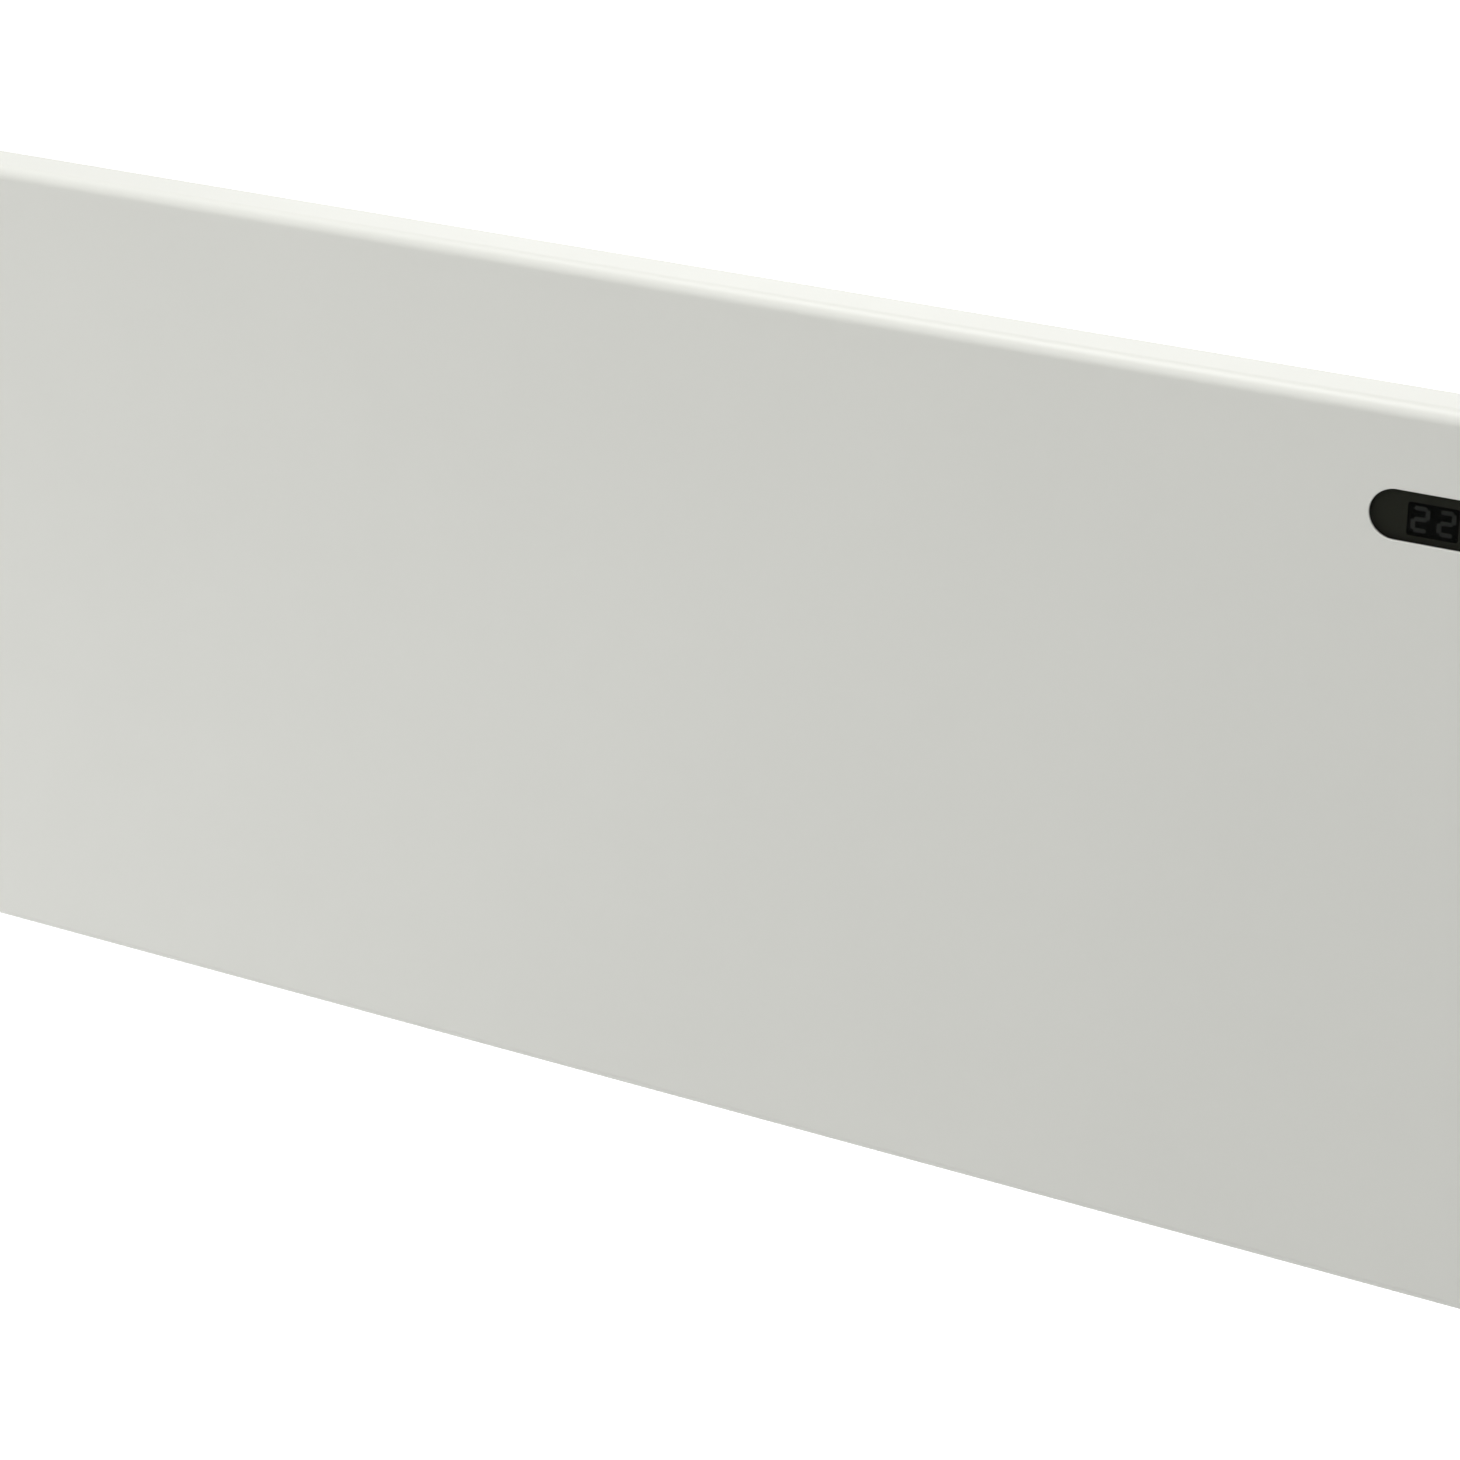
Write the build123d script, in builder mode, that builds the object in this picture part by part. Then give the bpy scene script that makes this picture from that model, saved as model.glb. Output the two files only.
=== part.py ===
"""Wall panel convector heater: a folded steel front, a rear casing and a wall bracket that it tilts on.

Millimetres. The origin is on the wall, at the centre of the four wall screws.
+X is to the right as seen from the room, +Z is up, and the front faces -Y.
"""

import os

from build123d import *

os.makedirs("parts", exist_ok=True)

# ---- driving dimensions ----------------------------------------------------------------------
panel_width = 960.0
panel_height = 370.0
total_depth = 84.0
wall_gap = 22.0
front_pan_depth = 22.0
sheet = 1.0
top_bend = 5.5
bottom_bend = 5.0
edge_bend = 2.0
end_cap_thickness = 3.0

half_width = panel_width / 2
half_height = panel_height / 2
sheet_end = half_width - end_cap_thickness
front_y = -total_depth
pan_inner_y = front_y + sheet
pan_back_y = front_y + front_pan_depth
back_y = -wall_gap
inner_back_y = back_y - sheet

# rear casing
casing_top = 163.0
casing_bottom = -172.0
casing_lip_top = 176.0
casing_lip_bottom = -182.0
casing_lip_bend, casing_bend = 1.0, 4.0
pan_lip_high = 27.0
pan_lip_low = 25.0
vent_width, vent_length, vent_pitch, vent_count = 5.0, 26.0, 12.0, 58
vent_centre_x = -60.0

# display and buttons
display_radius = 9.6
display_length = 100.0
display_left_x = 345.0
display_z = 142.7
window_gap = 0.2
window_recess = 0.2
window_flange_y = front_y + 1.1
window_flange_depth = 1.4
window_flange_rim = 2.0
display_stud_radius, display_stud_length = 1.5, 6.2
button_radius = 5.4
button_gap = 0.3
button_xs = (388.0, 405.0, 422.0)
button_names = ("button_minus", "button_plus", "button_mode")
stem_radius = 1.7
running_gap = 0.05
digit_xs = (353.7, 363.5)
digit_z = display_z - 1.3
digit_width, digit_height, digit_stroke = 7.0, 10.2, 1.7
module_half_x, module_half_z = 10.0, 6.8
module_face_y = front_y + 3.1
display_board_front = front_y + 12.0
ribbon_y = display_board_front + 4.0
ribbon_high_z, ribbon_header_high = display_z - 10.0, 10.0

# wall bracket
arm_x = 200.0
arm_width = 24.0
arm_sheet = 1.5
arm_bend = 2.5
arm_depth = 20.0
arm_top, arm_bottom = 132.0, -135.0
wall_hole_z = 70.0
wall_hole_radius = 2.75
crossbar_width = 30.0
crossbar_zs = {"bracket_crossbar_upper": 90.0, "bracket_crossbar_lower": -90.0}
crossbar_rivet_offsets = (-8.0, 8.0)
crossbar_rivet_zs = [z + dz for z in crossbar_zs.values() for dz in crossbar_rivet_offsets]
rivet_y = -11.0
pivot_y, pivot_z = -11.0, -120.0
pin_radius = 3.0
hook_gap = 0.1

# latches, as offsets from the pivot stud of each
latch_z = 119.0
stud_radius = 2.0
eye_radius = 3.2
latch_sheet = 1.0
latch_width = 12.0
latch_back_y = -4.1
latch_reach = 60.0
tongue_width = 14.0
tongue_tip_y, barb_y = -31.0, -24.2
barb_top = 130.5
latch_slot = (113.0, 128.0)
latch_slot_margin = 2.0

# heating element
element_y, element_z = -54.0, -105.0
element_left, element_right = -428.0, 250.0
rod_radius = 4.0
rod_overhang = 18.0
terminal_length, terminal_radius = 8.0, 1.2
bracket_sheet = 1.2
bracket_foot = 12.0

# heat shield behind the element
shield_sheet = 0.6
shield_left, shield_right = -418.0, 236.0
shield_low, shield_high = -150.0, 96.0
shield_foot = 9.0
shield_bend = 1.0
shield_stand_off = 6.0

# control compartment
partition_x = 314.0
board_left, board_right = 355.0, 445.0
board_low, board_high = -130.0, 20.0
board_back_y = -33.0
board_thickness = 1.6
board_corner = 2.0
board_face_y = board_back_y - board_thickness
block_entry_xs = (376.0, 387.0, 398.0, 409.0, 420.0)
block_low, block_high = -122.0, -102.0
block_depth = 14.0
lead_radius = 1.3
lead_end_y = -42.0
lead_insertion = 3.0
grommet_z = -105.0

# rocker switch, in the right end cap
rocker_y, rocker_z = -44.0, -120.0
rocker_half_width, rocker_reach = 5.5, 8.5
rocker_tilt = 7.0
rocker_pivot_x = half_width - 4.0
trunnion_radius = 1.2
rocker_flange = (16.0, 25.0)
rocker_flange_depth = 1.5
rocker_body = (13.8, 21.6)
rocker_back_x = 458.0
rocker_blade_length = 8.0
rocker_blade_zs = (-125.0, -115.0)

# cord entry
gland_x, gland_y = 458.0, -38.0
gland_neck_radius = 6.9
cord_bore_radius = 3.75

# room sensor
sensor_x, sensor_y, sensor_z = 400.0, -74.5, -179.0
sensor_radius, sensor_length = 2.5, 18.0
sensing_hole_radius = 1.0
sensing_offsets = (-6.0, -2.0, 2.0, 6.0)

# fasteners
screw_radius = 1.7
screw_head_radius = 3.2
screw_head_height = 2.0
rivet_radius = 1.6
hole_clearance = 0.1
screw_hole_radius = screw_radius + hole_clearance
rivet_hole_radius = rivet_radius + running_gap


# ---- helpers ---------------------------------------------------------------------------------
def write_piece(part, name):
    """Labels a finished piece and writes its STEP file."""
    part.label = name
    export_step(part, f"parts/{name}.step")


def at_each(part, places):
    """Copies of one piece as separate solids, one at each place."""
    with BuildPart() as group:
        with Locations(*places):
            add(part)
    return group.part


def facing_wall(x, y, z):
    """A place whose own Z axis points at the wall."""
    return Location((x, y, z), (-90, 0, 0))


def facing_room(x, y, z):
    """A place whose own Z axis points into the room."""
    return Location((x, y, z), (90, 0, 0))


def folded_section(points, bends, thickness, side=Side.LEFT):
    """The section of a sheet folded along a line of points, lying to one side of the line."""
    with BuildSketch() as section:
        with BuildLine():
            FilletPolyline(*points, radius=bends)
            offset(amount=thickness, side=side)
        make_face()
    return section.sketch


def folded_along_x(points, bends, thickness, start, end, side=Side.LEFT):
    """A folded sheet whose (y, z) section runs from one X to another."""
    with BuildPart() as folded:
        with BuildSketch(Plane.YZ.offset(start)):
            add(folded_section(points, bends, thickness, side))
        extrude(amount=end - start)
    return folded.part


def box_between(low, high):
    """A plain box from its lowest to its highest corner, added to the piece being built."""
    size = [b - a for a, b in zip(low, high)]
    middle = tuple((a + b) / 2 for a, b in zip(low, high))
    with Locations(middle):
        Box(*size)


def make_screw(length, head_radius=screw_head_radius, radius=screw_radius):
    """A pan-head screw with its head's underside at the origin and its shank pointing down."""
    cross_length, cross_width = head_radius * 1.1, head_radius * 0.25
    with BuildPart() as screw:
        Cylinder(head_radius, screw_head_height, align=(Align.CENTER, Align.CENTER, Align.MIN))
        fillet(screw.edges().group_by(Axis.Z)[-1], screw_head_height * 0.45)
        Cylinder(radius, length, align=(Align.CENTER, Align.CENTER, Align.MAX))
        chamfer(screw.edges().group_by(Axis.Z)[0], radius * 0.5)
        with BuildSketch(Plane.XY.offset(screw_head_height)):
            Rectangle(cross_length, cross_width)
            Rectangle(cross_width, cross_length)
        extrude(amount=-screw_head_height * 0.55, mode=Mode.SUBTRACT)
    return screw.part


def make_rivet(grip, radius=rivet_radius):
    """A rivet with its domed head's underside at the origin and a flat tail beyond its grip."""
    head_radius, head_height, dome = radius * 1.8, 1.2, 0.7
    tail_radius, tail_height = radius * 1.5, 0.9
    with BuildPart() as rivet:
        Cylinder(head_radius, head_height, align=(Align.CENTER, Align.CENTER, Align.MIN))
        fillet(rivet.edges().group_by(Axis.Z)[-1], dome)
        Cylinder(radius, grip, align=(Align.CENTER, Align.CENTER, Align.MAX))
        with Locations((0, 0, -grip)):
            Cylinder(tail_radius, tail_height, align=(Align.CENTER, Align.CENTER, Align.MAX))
    return rivet.part


def make_nut(across_flats, height, bore_radius):
    """A hexagon nut standing on the origin, with a chamfered top."""
    with BuildPart() as nut:
        with BuildSketch():
            RegularPolygon(across_flats / 2, 6, major_radius=False)
            Circle(bore_radius, mode=Mode.SUBTRACT)
        extrude(amount=height)
        chamfer(nut.edges().filter_by(GeomType.LINE).group_by(Axis.Z)[-1], height * 0.12)
    return nut.part


def drill_along_y(places, radius, depth=8.0):
    """Drills round holes along Y, centred on each place, through the piece being built."""
    with Locations(*[facing_room(*place) for place in places]):
        Cylinder(radius, depth, mode=Mode.SUBTRACT)


def make_lead(points, bends, radius=lead_radius):
    """An insulated lead along straight runs joined by round bends."""
    with BuildPart() as lead:
        with BuildLine() as route:
            FilletPolyline(*points, radius=bends)
        with BuildSketch(Plane(route.line @ 0, z_dir=route.line % 0)):
            Circle(radius)
        sweep()
    return lead.part


# ---- where the fasteners go ------------------------------------------------------------------
lip_screw_xs = (-440.0, -220.0, 0.0, 220.0, 440.0)
lip_screw_zs = (169.5, -177.0)
lip_screw_places = [(x, pan_back_y + sheet, z) for x in lip_screw_xs for z in lip_screw_zs]

end_boss_x = half_width - 8.0
end_screw_zs = (-90.0, 100.0)
end_screw_places = [(side * end_boss_x, back_y, z) for side in (-1, 1) for z in end_screw_zs]

hook_foot_thickness = 2.0
hook_rivet_offsets = [(dx, z) for dx in (-5.0, 5.0) for z in (-104.0, -84.0)]
hook_rivet_places = [(side * arm_x + dx, back_y + hook_foot_thickness, z)
                     for side in (-1, 1) for dx, z in hook_rivet_offsets]

shield_rivet_zs = (shield_low + shield_foot / 2, shield_high - shield_foot / 2)
shield_rivet_places = [(x, inner_back_y - shield_sheet, z)
                       for x in (-400.0, -250.0, -91.0, 91.0, 222.0) for z in shield_rivet_zs]

element_bracket_xs = {"element_bracket_left": -436.0, "element_bracket_right": 258.0}
element_bracket_sides = {"element_bracket_left": -1, "element_bracket_right": 1}
element_screw_places = [(element_bracket_xs[name] + element_bracket_sides[name] * bracket_foot / 2,
                         inner_back_y - bracket_sheet, z)
                        for name in element_bracket_xs for z in (-125.0, -85.0)]

partition_screw_places = [(partition_x + 8.0, inner_back_y - sheet, z) for z in (-120.0, 0.0, 120.0)]

cutout_x, cutout_z = 285.0, -40.0
cutout_ear = 0.8
cutout_blade_xs = (281.0, 289.0)
cutout_lead_y, cutout_lead_z = -31.0, -51.0
cutout_rivet_places = [(cutout_x + dx, inner_back_y - cutout_ear, cutout_z) for dx in (-13.0, 13.0)]

board_screw_places = [(x, board_face_y, z) for x in (board_left + 5, board_right - 5)
                      for z in (board_low + 5, board_high - 5)]

display_centre_x = display_left_x - display_radius + display_length / 2
display_stud_xs = (display_centre_x - 60.0, display_centre_x + 60.0)
display_post_places = [(x, display_z + dz) for x, dz in ((340.0, -11.0), (340.0, 11.0), (432.5, -11.0),
                                                         (432.5, 11.0))]

earth_screw_place = (340.0, inner_back_y, -158.0)


# ---- casing ----------------------------------------------------------------------------------
def make_front_panel():
    """The folded front: a pan open at the back, with return lips and the display opening."""
    outline = [
        (pan_back_y, half_height - pan_lip_high),
        (pan_back_y, half_height),
        (front_y, half_height),
        (front_y, -half_height),
        (pan_back_y, -half_height),
        (pan_back_y, -half_height + pan_lip_low),
    ]
    bends = (edge_bend, top_bend, bottom_bend, edge_bend)
    with BuildPart() as front_panel:
        add(folded_along_x(outline, bends, sheet, -sheet_end, sheet_end))
        with BuildSketch(Plane.XZ.offset(total_depth)):
            with Locations((display_centre_x, display_z)):
                SlotOverall(display_length + 2 * window_gap, 2 * (display_radius + window_gap))
        extrude(amount=-2 * sheet, mode=Mode.SUBTRACT)
        drill_along_y(lip_screw_places, screw_hole_radius)
        # sensing holes in the underside, below the room sensor
        with Locations(*[(sensor_x + dx, sensor_y, -half_height) for dx in sensing_offsets]):
            Cylinder(sensing_hole_radius, 4 * sheet, mode=Mode.SUBTRACT)
        # threaded studs welded either side of the display
        with Locations(*[facing_wall(x, pan_inner_y - sheet / 5, display_z) for x in display_stud_xs]):
            Cylinder(display_stud_radius, display_stud_length,
                     align=(Align.CENTER, Align.CENTER, Align.MIN))
    write_piece(front_panel.part, "front_panel")


def make_rear_casing():
    """The rear tray, screwed to the front's lips, with vents along its top and bottom."""
    lip_y = pan_back_y + sheet
    outline = [
        (lip_y, casing_lip_top),
        (lip_y, casing_top),
        (back_y, casing_top),
        (back_y, casing_bottom),
        (lip_y, casing_bottom),
        (lip_y, casing_lip_bottom),
    ]
    with BuildPart() as rear_casing:
        bends = (casing_lip_bend, casing_bend, casing_bend, casing_lip_bend)
        add(folded_along_x(outline, bends, sheet, -sheet_end, sheet_end, Side.RIGHT))
        vent_y = (lip_y + back_y) / 2
        for vent_z in (casing_top, casing_bottom):
            with BuildSketch(Plane.XY.offset(vent_z)):
                with Locations((vent_centre_x, vent_y)):
                    with GridLocations(vent_pitch, 0, vent_count, 1):
                        SlotOverall(vent_length, vent_width, rotation=90)
            extrude(amount=2 * sheet, both=True, mode=Mode.SUBTRACT)
        drill_along_y(lip_screw_places, screw_hole_radius)
        drill_along_y(end_screw_places, screw_hole_radius)
        drill_along_y([(x, back_y, z) for x, _, z in hook_rivet_places], rivet_hole_radius)
        drill_along_y(shield_rivet_places + cutout_rivet_places, rivet_hole_radius)
        drill_along_y(element_screw_places + partition_screw_places, screw_hole_radius)
        drill_along_y([earth_screw_place], screw_hole_radius)
        # slots for the latch tongues
        slot_low, slot_high = latch_slot
        slot_x = arm_x - latch_reach + tongue_width / 2
        with Locations(*[(side * slot_x, back_y, (slot_low + slot_high) / 2) for side in (-1, 1)]):
            Box(tongue_width + 2 * latch_slot_margin, 4 * sheet, slot_high - slot_low, mode=Mode.SUBTRACT)
        # cord gland hole in the bottom
        with Locations((gland_x, gland_y, casing_bottom)):
            Cylinder(gland_neck_radius + hole_clearance, 4 * sheet, mode=Mode.SUBTRACT)
    write_piece(rear_casing.part, "rear_casing")


def make_end_cap(side, name):
    """A moulded end cap with a plug rim that fits inside the folded front."""
    outline = [
        (front_y, half_height),
        (pan_back_y, half_height),
        (back_y, casing_top),
        (back_y, casing_bottom),
        (pan_back_y, -half_height),
        (front_y, -half_height),
    ]
    inward = -side
    rear_corner, outer_easing = 5.0, 1.2
    corners = (top_bend, rear_corner, rear_corner, rear_corner, rear_corner, bottom_bend)
    boss_depth, boss_half_height, boss_margin = 12.0, 5.0, 4.0
    opening_gap, opening_corner = 0.2, 1.6
    with BuildPart() as end_cap:
        with BuildSketch(Plane.YZ.offset(side * half_width)):
            with BuildLine():
                FilletPolyline(*outline, radius=corners, close=True)
            make_face()
        extrude(amount=inward * end_cap_thickness)
        outer_edges = end_cap.faces().sort_by(Axis.X)[-1 if side > 0 else 0].edges()
        fillet(outer_edges, outer_easing)
        # plug rim inside the front, open towards the rear
        rim_gap, rim_wall, rim_depth, rim_setback = 0.2, 1.6, 8.0, 1.5
        rim_front = pan_inner_y + rim_gap
        rim_back = pan_back_y - sheet - rim_setback
        rim_high = half_height - sheet - rim_gap
        rim = [(rim_back, rim_high), (rim_front, rim_high), (rim_front, -rim_high), (rim_back, -rim_high)]
        with BuildSketch(Plane.YZ.offset(side * sheet_end)):
            add(folded_section(rim, (top_bend - sheet, bottom_bend - sheet), rim_wall))
        extrude(amount=inward * rim_depth)
        # bosses for the screws through the back of the casing
        for z in end_screw_zs:
            low_x, high_x = sorted((side * sheet_end, side * (end_boss_x - boss_margin)))
            box_between((low_x, inner_back_y - boss_depth, z - boss_half_height),
                        (high_x, inner_back_y - hole_clearance, z + boss_half_height))
        drill_along_y([(side * end_boss_x, inner_back_y, z) for z in end_screw_zs],
                      screw_hole_radius, 1.5 * boss_depth)
        if side > 0:
            # stepped opening for the rocker switch
            with BuildSketch(Plane.YZ.offset(half_width)):
                with Locations((rocker_y, rocker_z)):
                    RectangleRounded(rocker_flange[0] + opening_gap, rocker_flange[1] + opening_gap,
                                     opening_corner)
            extrude(amount=-rocker_flange_depth, mode=Mode.SUBTRACT)
            with BuildSketch(Plane.YZ.offset(half_width)):
                with Locations((rocker_y, rocker_z)):
                    Rectangle(rocker_body[0] + opening_gap, rocker_body[1] + opening_gap)
            extrude(amount=-2 * end_cap_thickness, mode=Mode.SUBTRACT)
    write_piece(end_cap.part, name)


def make_hanger_hooks():
    """Two hooks riveted to the back of the casing, each hanging over a hinge pin."""
    lug_thickness, lug_half_width = 3.0, 5.6
    lug_high, lug_low = -90.0, -110.0
    shoulder_back_y, shoulder_high, shoulder_low = pivot_y + 2.0, -106.0, -115.0
    foot_half_width, foot_corner = 8.5, 2.0
    foot_y = back_y + hook_foot_thickness
    foot_low, foot_high = -112.0, -76.0
    tip_z = pivot_z - 6.0
    slot_radius = pin_radius + hook_gap
    slot_length = 12.0
    lug = [
        (foot_y, lug_high),
        (shoulder_back_y, shoulder_high),
        (pivot_y + lug_half_width, shoulder_low),
        (pivot_y + lug_half_width, tip_z),
        (pivot_y - lug_half_width, tip_z),
        (foot_y, lug_low),
    ]
    with BuildPart() as hook:
        box_between((-foot_half_width, back_y, foot_low), (foot_half_width, foot_y, foot_high))
        fillet(hook.edges().filter_by(Axis.Y), foot_corner)
        drill_along_y([(dx, back_y, z) for dx, z in hook_rivet_offsets], rivet_hole_radius)
        with BuildSketch(Plane.YZ.offset(-lug_thickness / 2)):
            with BuildLine():
                Polyline(*lug, close=True)
            make_face()
            with Locations((pivot_y, pivot_z)):
                Circle(slot_radius, mode=Mode.SUBTRACT)
                Rectangle(2 * slot_radius, slot_length, align=(Align.CENTER, Align.MAX), mode=Mode.SUBTRACT)
        extrude(amount=lug_thickness)
    hooks = at_each(hook.part, [Location((side * arm_x, 0, 0)) for side in (-1, 1)])
    write_piece(hooks, "hanger_hooks")


def make_casing_fasteners():
    """Screws that join the casing and the rivets through its back."""
    lip_screw_length, end_screw_length, inner_screw_length = 7.0, 9.0, 4.0
    lip_screws = at_each(make_screw(lip_screw_length), [facing_wall(*place) for place in lip_screw_places])
    write_piece(lip_screws, "lip_screws")
    end_screws = at_each(make_screw(end_screw_length), [facing_wall(*place) for place in end_screw_places])
    write_piece(end_screws, "end_cap_screws")
    inner_screws = at_each(make_screw(inner_screw_length), [
        facing_room(*place) for place in element_screw_places + partition_screw_places])
    write_piece(inner_screws, "inner_screws")
    with BuildPart() as rivets:
        with Locations(*[facing_wall(*place) for place in hook_rivet_places]):
            add(make_rivet(hook_foot_thickness + sheet))
        with Locations(*[facing_room(*place) for place in shield_rivet_places]):
            add(make_rivet(shield_sheet + sheet))
        with Locations(*[facing_room(*place) for place in cutout_rivet_places]):
            add(make_rivet(cutout_ear + sheet))
    write_piece(rivets.part, "casing_rivets")


# ---- heating ---------------------------------------------------------------------------------
def make_heat_shield():
    """A thin reflecting sheet held off the back of the casing, behind the element."""
    plate_y = inner_back_y - shield_stand_off
    outline = [
        (inner_back_y, shield_low),
        (inner_back_y, shield_low + shield_foot),
        (plate_y, shield_low + shield_foot),
        (plate_y, shield_high - shield_foot),
        (inner_back_y, shield_high - shield_foot),
        (inner_back_y, shield_high),
    ]
    with BuildPart() as heat_shield:
        add(folded_along_x(outline, (shield_bend,) * 4, shield_sheet, shield_left, shield_right))
        drill_along_y(shield_rivet_places, rivet_hole_radius, 4 * shield_sheet)
    write_piece(heat_shield.part, "heat_shield")


def make_element():
    """The finned aluminium body, the sheathed rod through it and the bushings that carry the rod."""
    wing_reach, wing_thickness, wing_angle = 35.0, 2.0, 30.0
    first_fin, fin_pitch, fin_count = 14.0, 8.0, 3
    fin_length, fin_thickness = 7.0, 1.4
    hub_radius = rod_radius + 2.6
    with BuildPart() as fins:
        with BuildSketch(Plane.YZ.offset(element_left)):
            with Locations((element_y, element_z)):
                Circle(hub_radius)
                for angle in (90 - wing_angle, 90 + wing_angle, 270 - wing_angle, 270 + wing_angle):
                    with Locations(Location((0, 0), angle)):
                        Rectangle(wing_reach, wing_thickness, align=(Align.MIN, Align.CENTER))
                        with Locations((wing_reach, 0)):
                            Circle(wing_thickness * 0.8)
                        with Locations(*[(first_fin + i * fin_pitch, 0) for i in range(fin_count)]):
                            Rectangle(fin_thickness, fin_length)
                Circle(rod_radius + running_gap, mode=Mode.SUBTRACT)
        extrude(amount=element_right - element_left)
    write_piece(fins.part, "element_fins")

    rod_start, rod_end = element_left - rod_overhang, element_right + rod_overhang
    with BuildPart() as rod:
        with BuildSketch(Plane.YZ.offset(rod_start)):
            with Locations((element_y, element_z)):
                Circle(rod_radius)
        extrude(amount=rod_end - rod_start)
        with BuildSketch(Plane.YZ.offset(rod_start - terminal_length)):
            with Locations((element_y, element_z)):
                Circle(terminal_radius)
        extrude(amount=rod_end - rod_start + 2 * terminal_length)
    write_piece(rod.part, "element_rod")

    bushing_radius, groove_radius, nose_radius, bushing_half_length = 9.0, 6.9, 8.0, 3.6
    bore_radius = rod_radius + running_gap
    with BuildPart() as bushing:
        with BuildSketch():
            with BuildLine():
                Polyline((-bushing_half_length, bore_radius), (-bushing_half_length, bushing_radius),
                         (0, bushing_radius), (0, groove_radius), (bracket_sheet, groove_radius),
                         (bracket_sheet, nose_radius), (bushing_half_length, nose_radius),
                         (bushing_half_length, bore_radius), close=True)
            make_face()
        revolve(axis=Axis.X)
    left_x, right_x = element_bracket_xs.values()
    bushings = at_each(bushing.part, [
        Location((left_x - bracket_sheet, element_y, element_z)),
        Location((right_x, element_y, element_z)),
    ])
    write_piece(bushings, "element_bushings")


def make_element_bracket(name):
    """An angle bracket that holds one end of the element off the back of the casing."""
    side = element_bracket_sides[name]
    fold_x = element_bracket_xs[name]
    plate_low, plate_high, plate_front = -137.0, -73.0, -66.0
    fold_radius, bushing_hole_radius = 1.6, 7.0
    outline = [(fold_x + side * bracket_foot, inner_back_y), (fold_x, inner_back_y), (fold_x, plate_front)]
    with BuildPart() as bracket:
        # the sheet lies towards the room on the foot and towards the element on the plate
        sheet_side = Side.RIGHT if side < 0 else Side.LEFT
        with BuildSketch(Plane.XY.offset(plate_low)):
            add(folded_section(outline, (fold_radius,), bracket_sheet, sheet_side))
        extrude(amount=plate_high - plate_low)
        with Locations(Location((fold_x, element_y, element_z), (0, 90, 0))):
            Cylinder(bushing_hole_radius, 4 * fold_radius, mode=Mode.SUBTRACT)
        drill_along_y([place for place in element_screw_places if place[0] * side > 0], screw_hole_radius)
    write_piece(bracket.part, name)


def make_thermal_cutout():
    """A disc thermostat on a plate riveted to the casing, with two blades below it."""
    plate_half, plate_half_height, plate_corner = 17.0, 5.0, 3.0
    disc_radius, disc_depth, disc_easing = 8.5, 11.0, 0.8
    blade_half_width, blade_half_thickness = 2.0, 0.4
    pip_radius, pip_height = 2.0, 1.5
    with BuildPart() as cutout:
        box_between((cutout_x - plate_half, inner_back_y - cutout_ear, cutout_z - plate_half_height),
                    (cutout_x + plate_half, inner_back_y, cutout_z + plate_half_height))
        fillet(cutout.edges().filter_by(Axis.Y), plate_corner)
        drill_along_y(cutout_rivet_places, rivet_hole_radius)
        disc_back = inner_back_y - cutout_ear / 2
        with Locations(facing_room(cutout_x, disc_back, cutout_z)):
            Cylinder(disc_radius, disc_depth, align=(Align.CENTER, Align.CENTER, Align.MIN))
        disc_front = disc_back - disc_depth
        fillet(cutout.faces().sort_by(Axis.Y)[0].edges(), disc_easing)
        for blade_x in cutout_blade_xs:
            box_between((blade_x - blade_half_width, cutout_lead_y - blade_half_thickness, cutout_lead_z),
                        (blade_x + blade_half_width, cutout_lead_y + blade_half_thickness, cutout_z))
        # reset pip on the disc's front
        with Locations(facing_room(cutout_x, disc_front, cutout_z)):
            Cylinder(pip_radius, pip_height, align=(Align.CENTER, Align.CENTER, Align.MIN))
    write_piece(cutout.part, "thermal_cutout")


def make_partition():
    """The sheet wall between the warm air and the controls, and the grommet in it."""
    low, high, foot, fold_radius = -150.0, 150.0, 16.0, 1.5
    front_edge_y = pan_inner_y + 1.0
    grommet_hole_radius, grommet_neck_radius, grommet_flange_radius = 5.0, 4.9, 6.6
    grommet_length, grommet_easing = 4.6, 0.8
    outline = [(partition_x + foot, inner_back_y), (partition_x, inner_back_y), (partition_x, front_edge_y)]
    grommet_place = Location((partition_x + sheet / 2, element_y, grommet_z), (0, 90, 0))
    with BuildPart() as partition:
        with BuildSketch(Plane.XY.offset(low)):
            add(folded_section(outline, (fold_radius,), sheet))
        extrude(amount=high - low)
        drill_along_y(partition_screw_places, screw_hole_radius, 4 * sheet)
        with Locations(grommet_place):
            Cylinder(grommet_hole_radius, 4 * sheet, mode=Mode.SUBTRACT)
    write_piece(partition.part, "partition")

    with BuildPart() as grommet:
        with Locations(grommet_place):
            Cylinder(grommet_flange_radius, grommet_length)
            Cylinder(grommet_flange_radius, sheet, mode=Mode.SUBTRACT)
            Cylinder(grommet_neck_radius, grommet_length)
            Cylinder(lead_radius + hole_clearance, grommet_length, mode=Mode.SUBTRACT)
        rims = grommet.edges().filter_by(GeomType.CIRCLE).group_by(Axis.X)
        fillet([rims[end].sort_by(SortBy.RADIUS)[-1] for end in (0, -1)], grommet_easing)
    write_piece(grommet.part, "partition_grommet")


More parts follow.
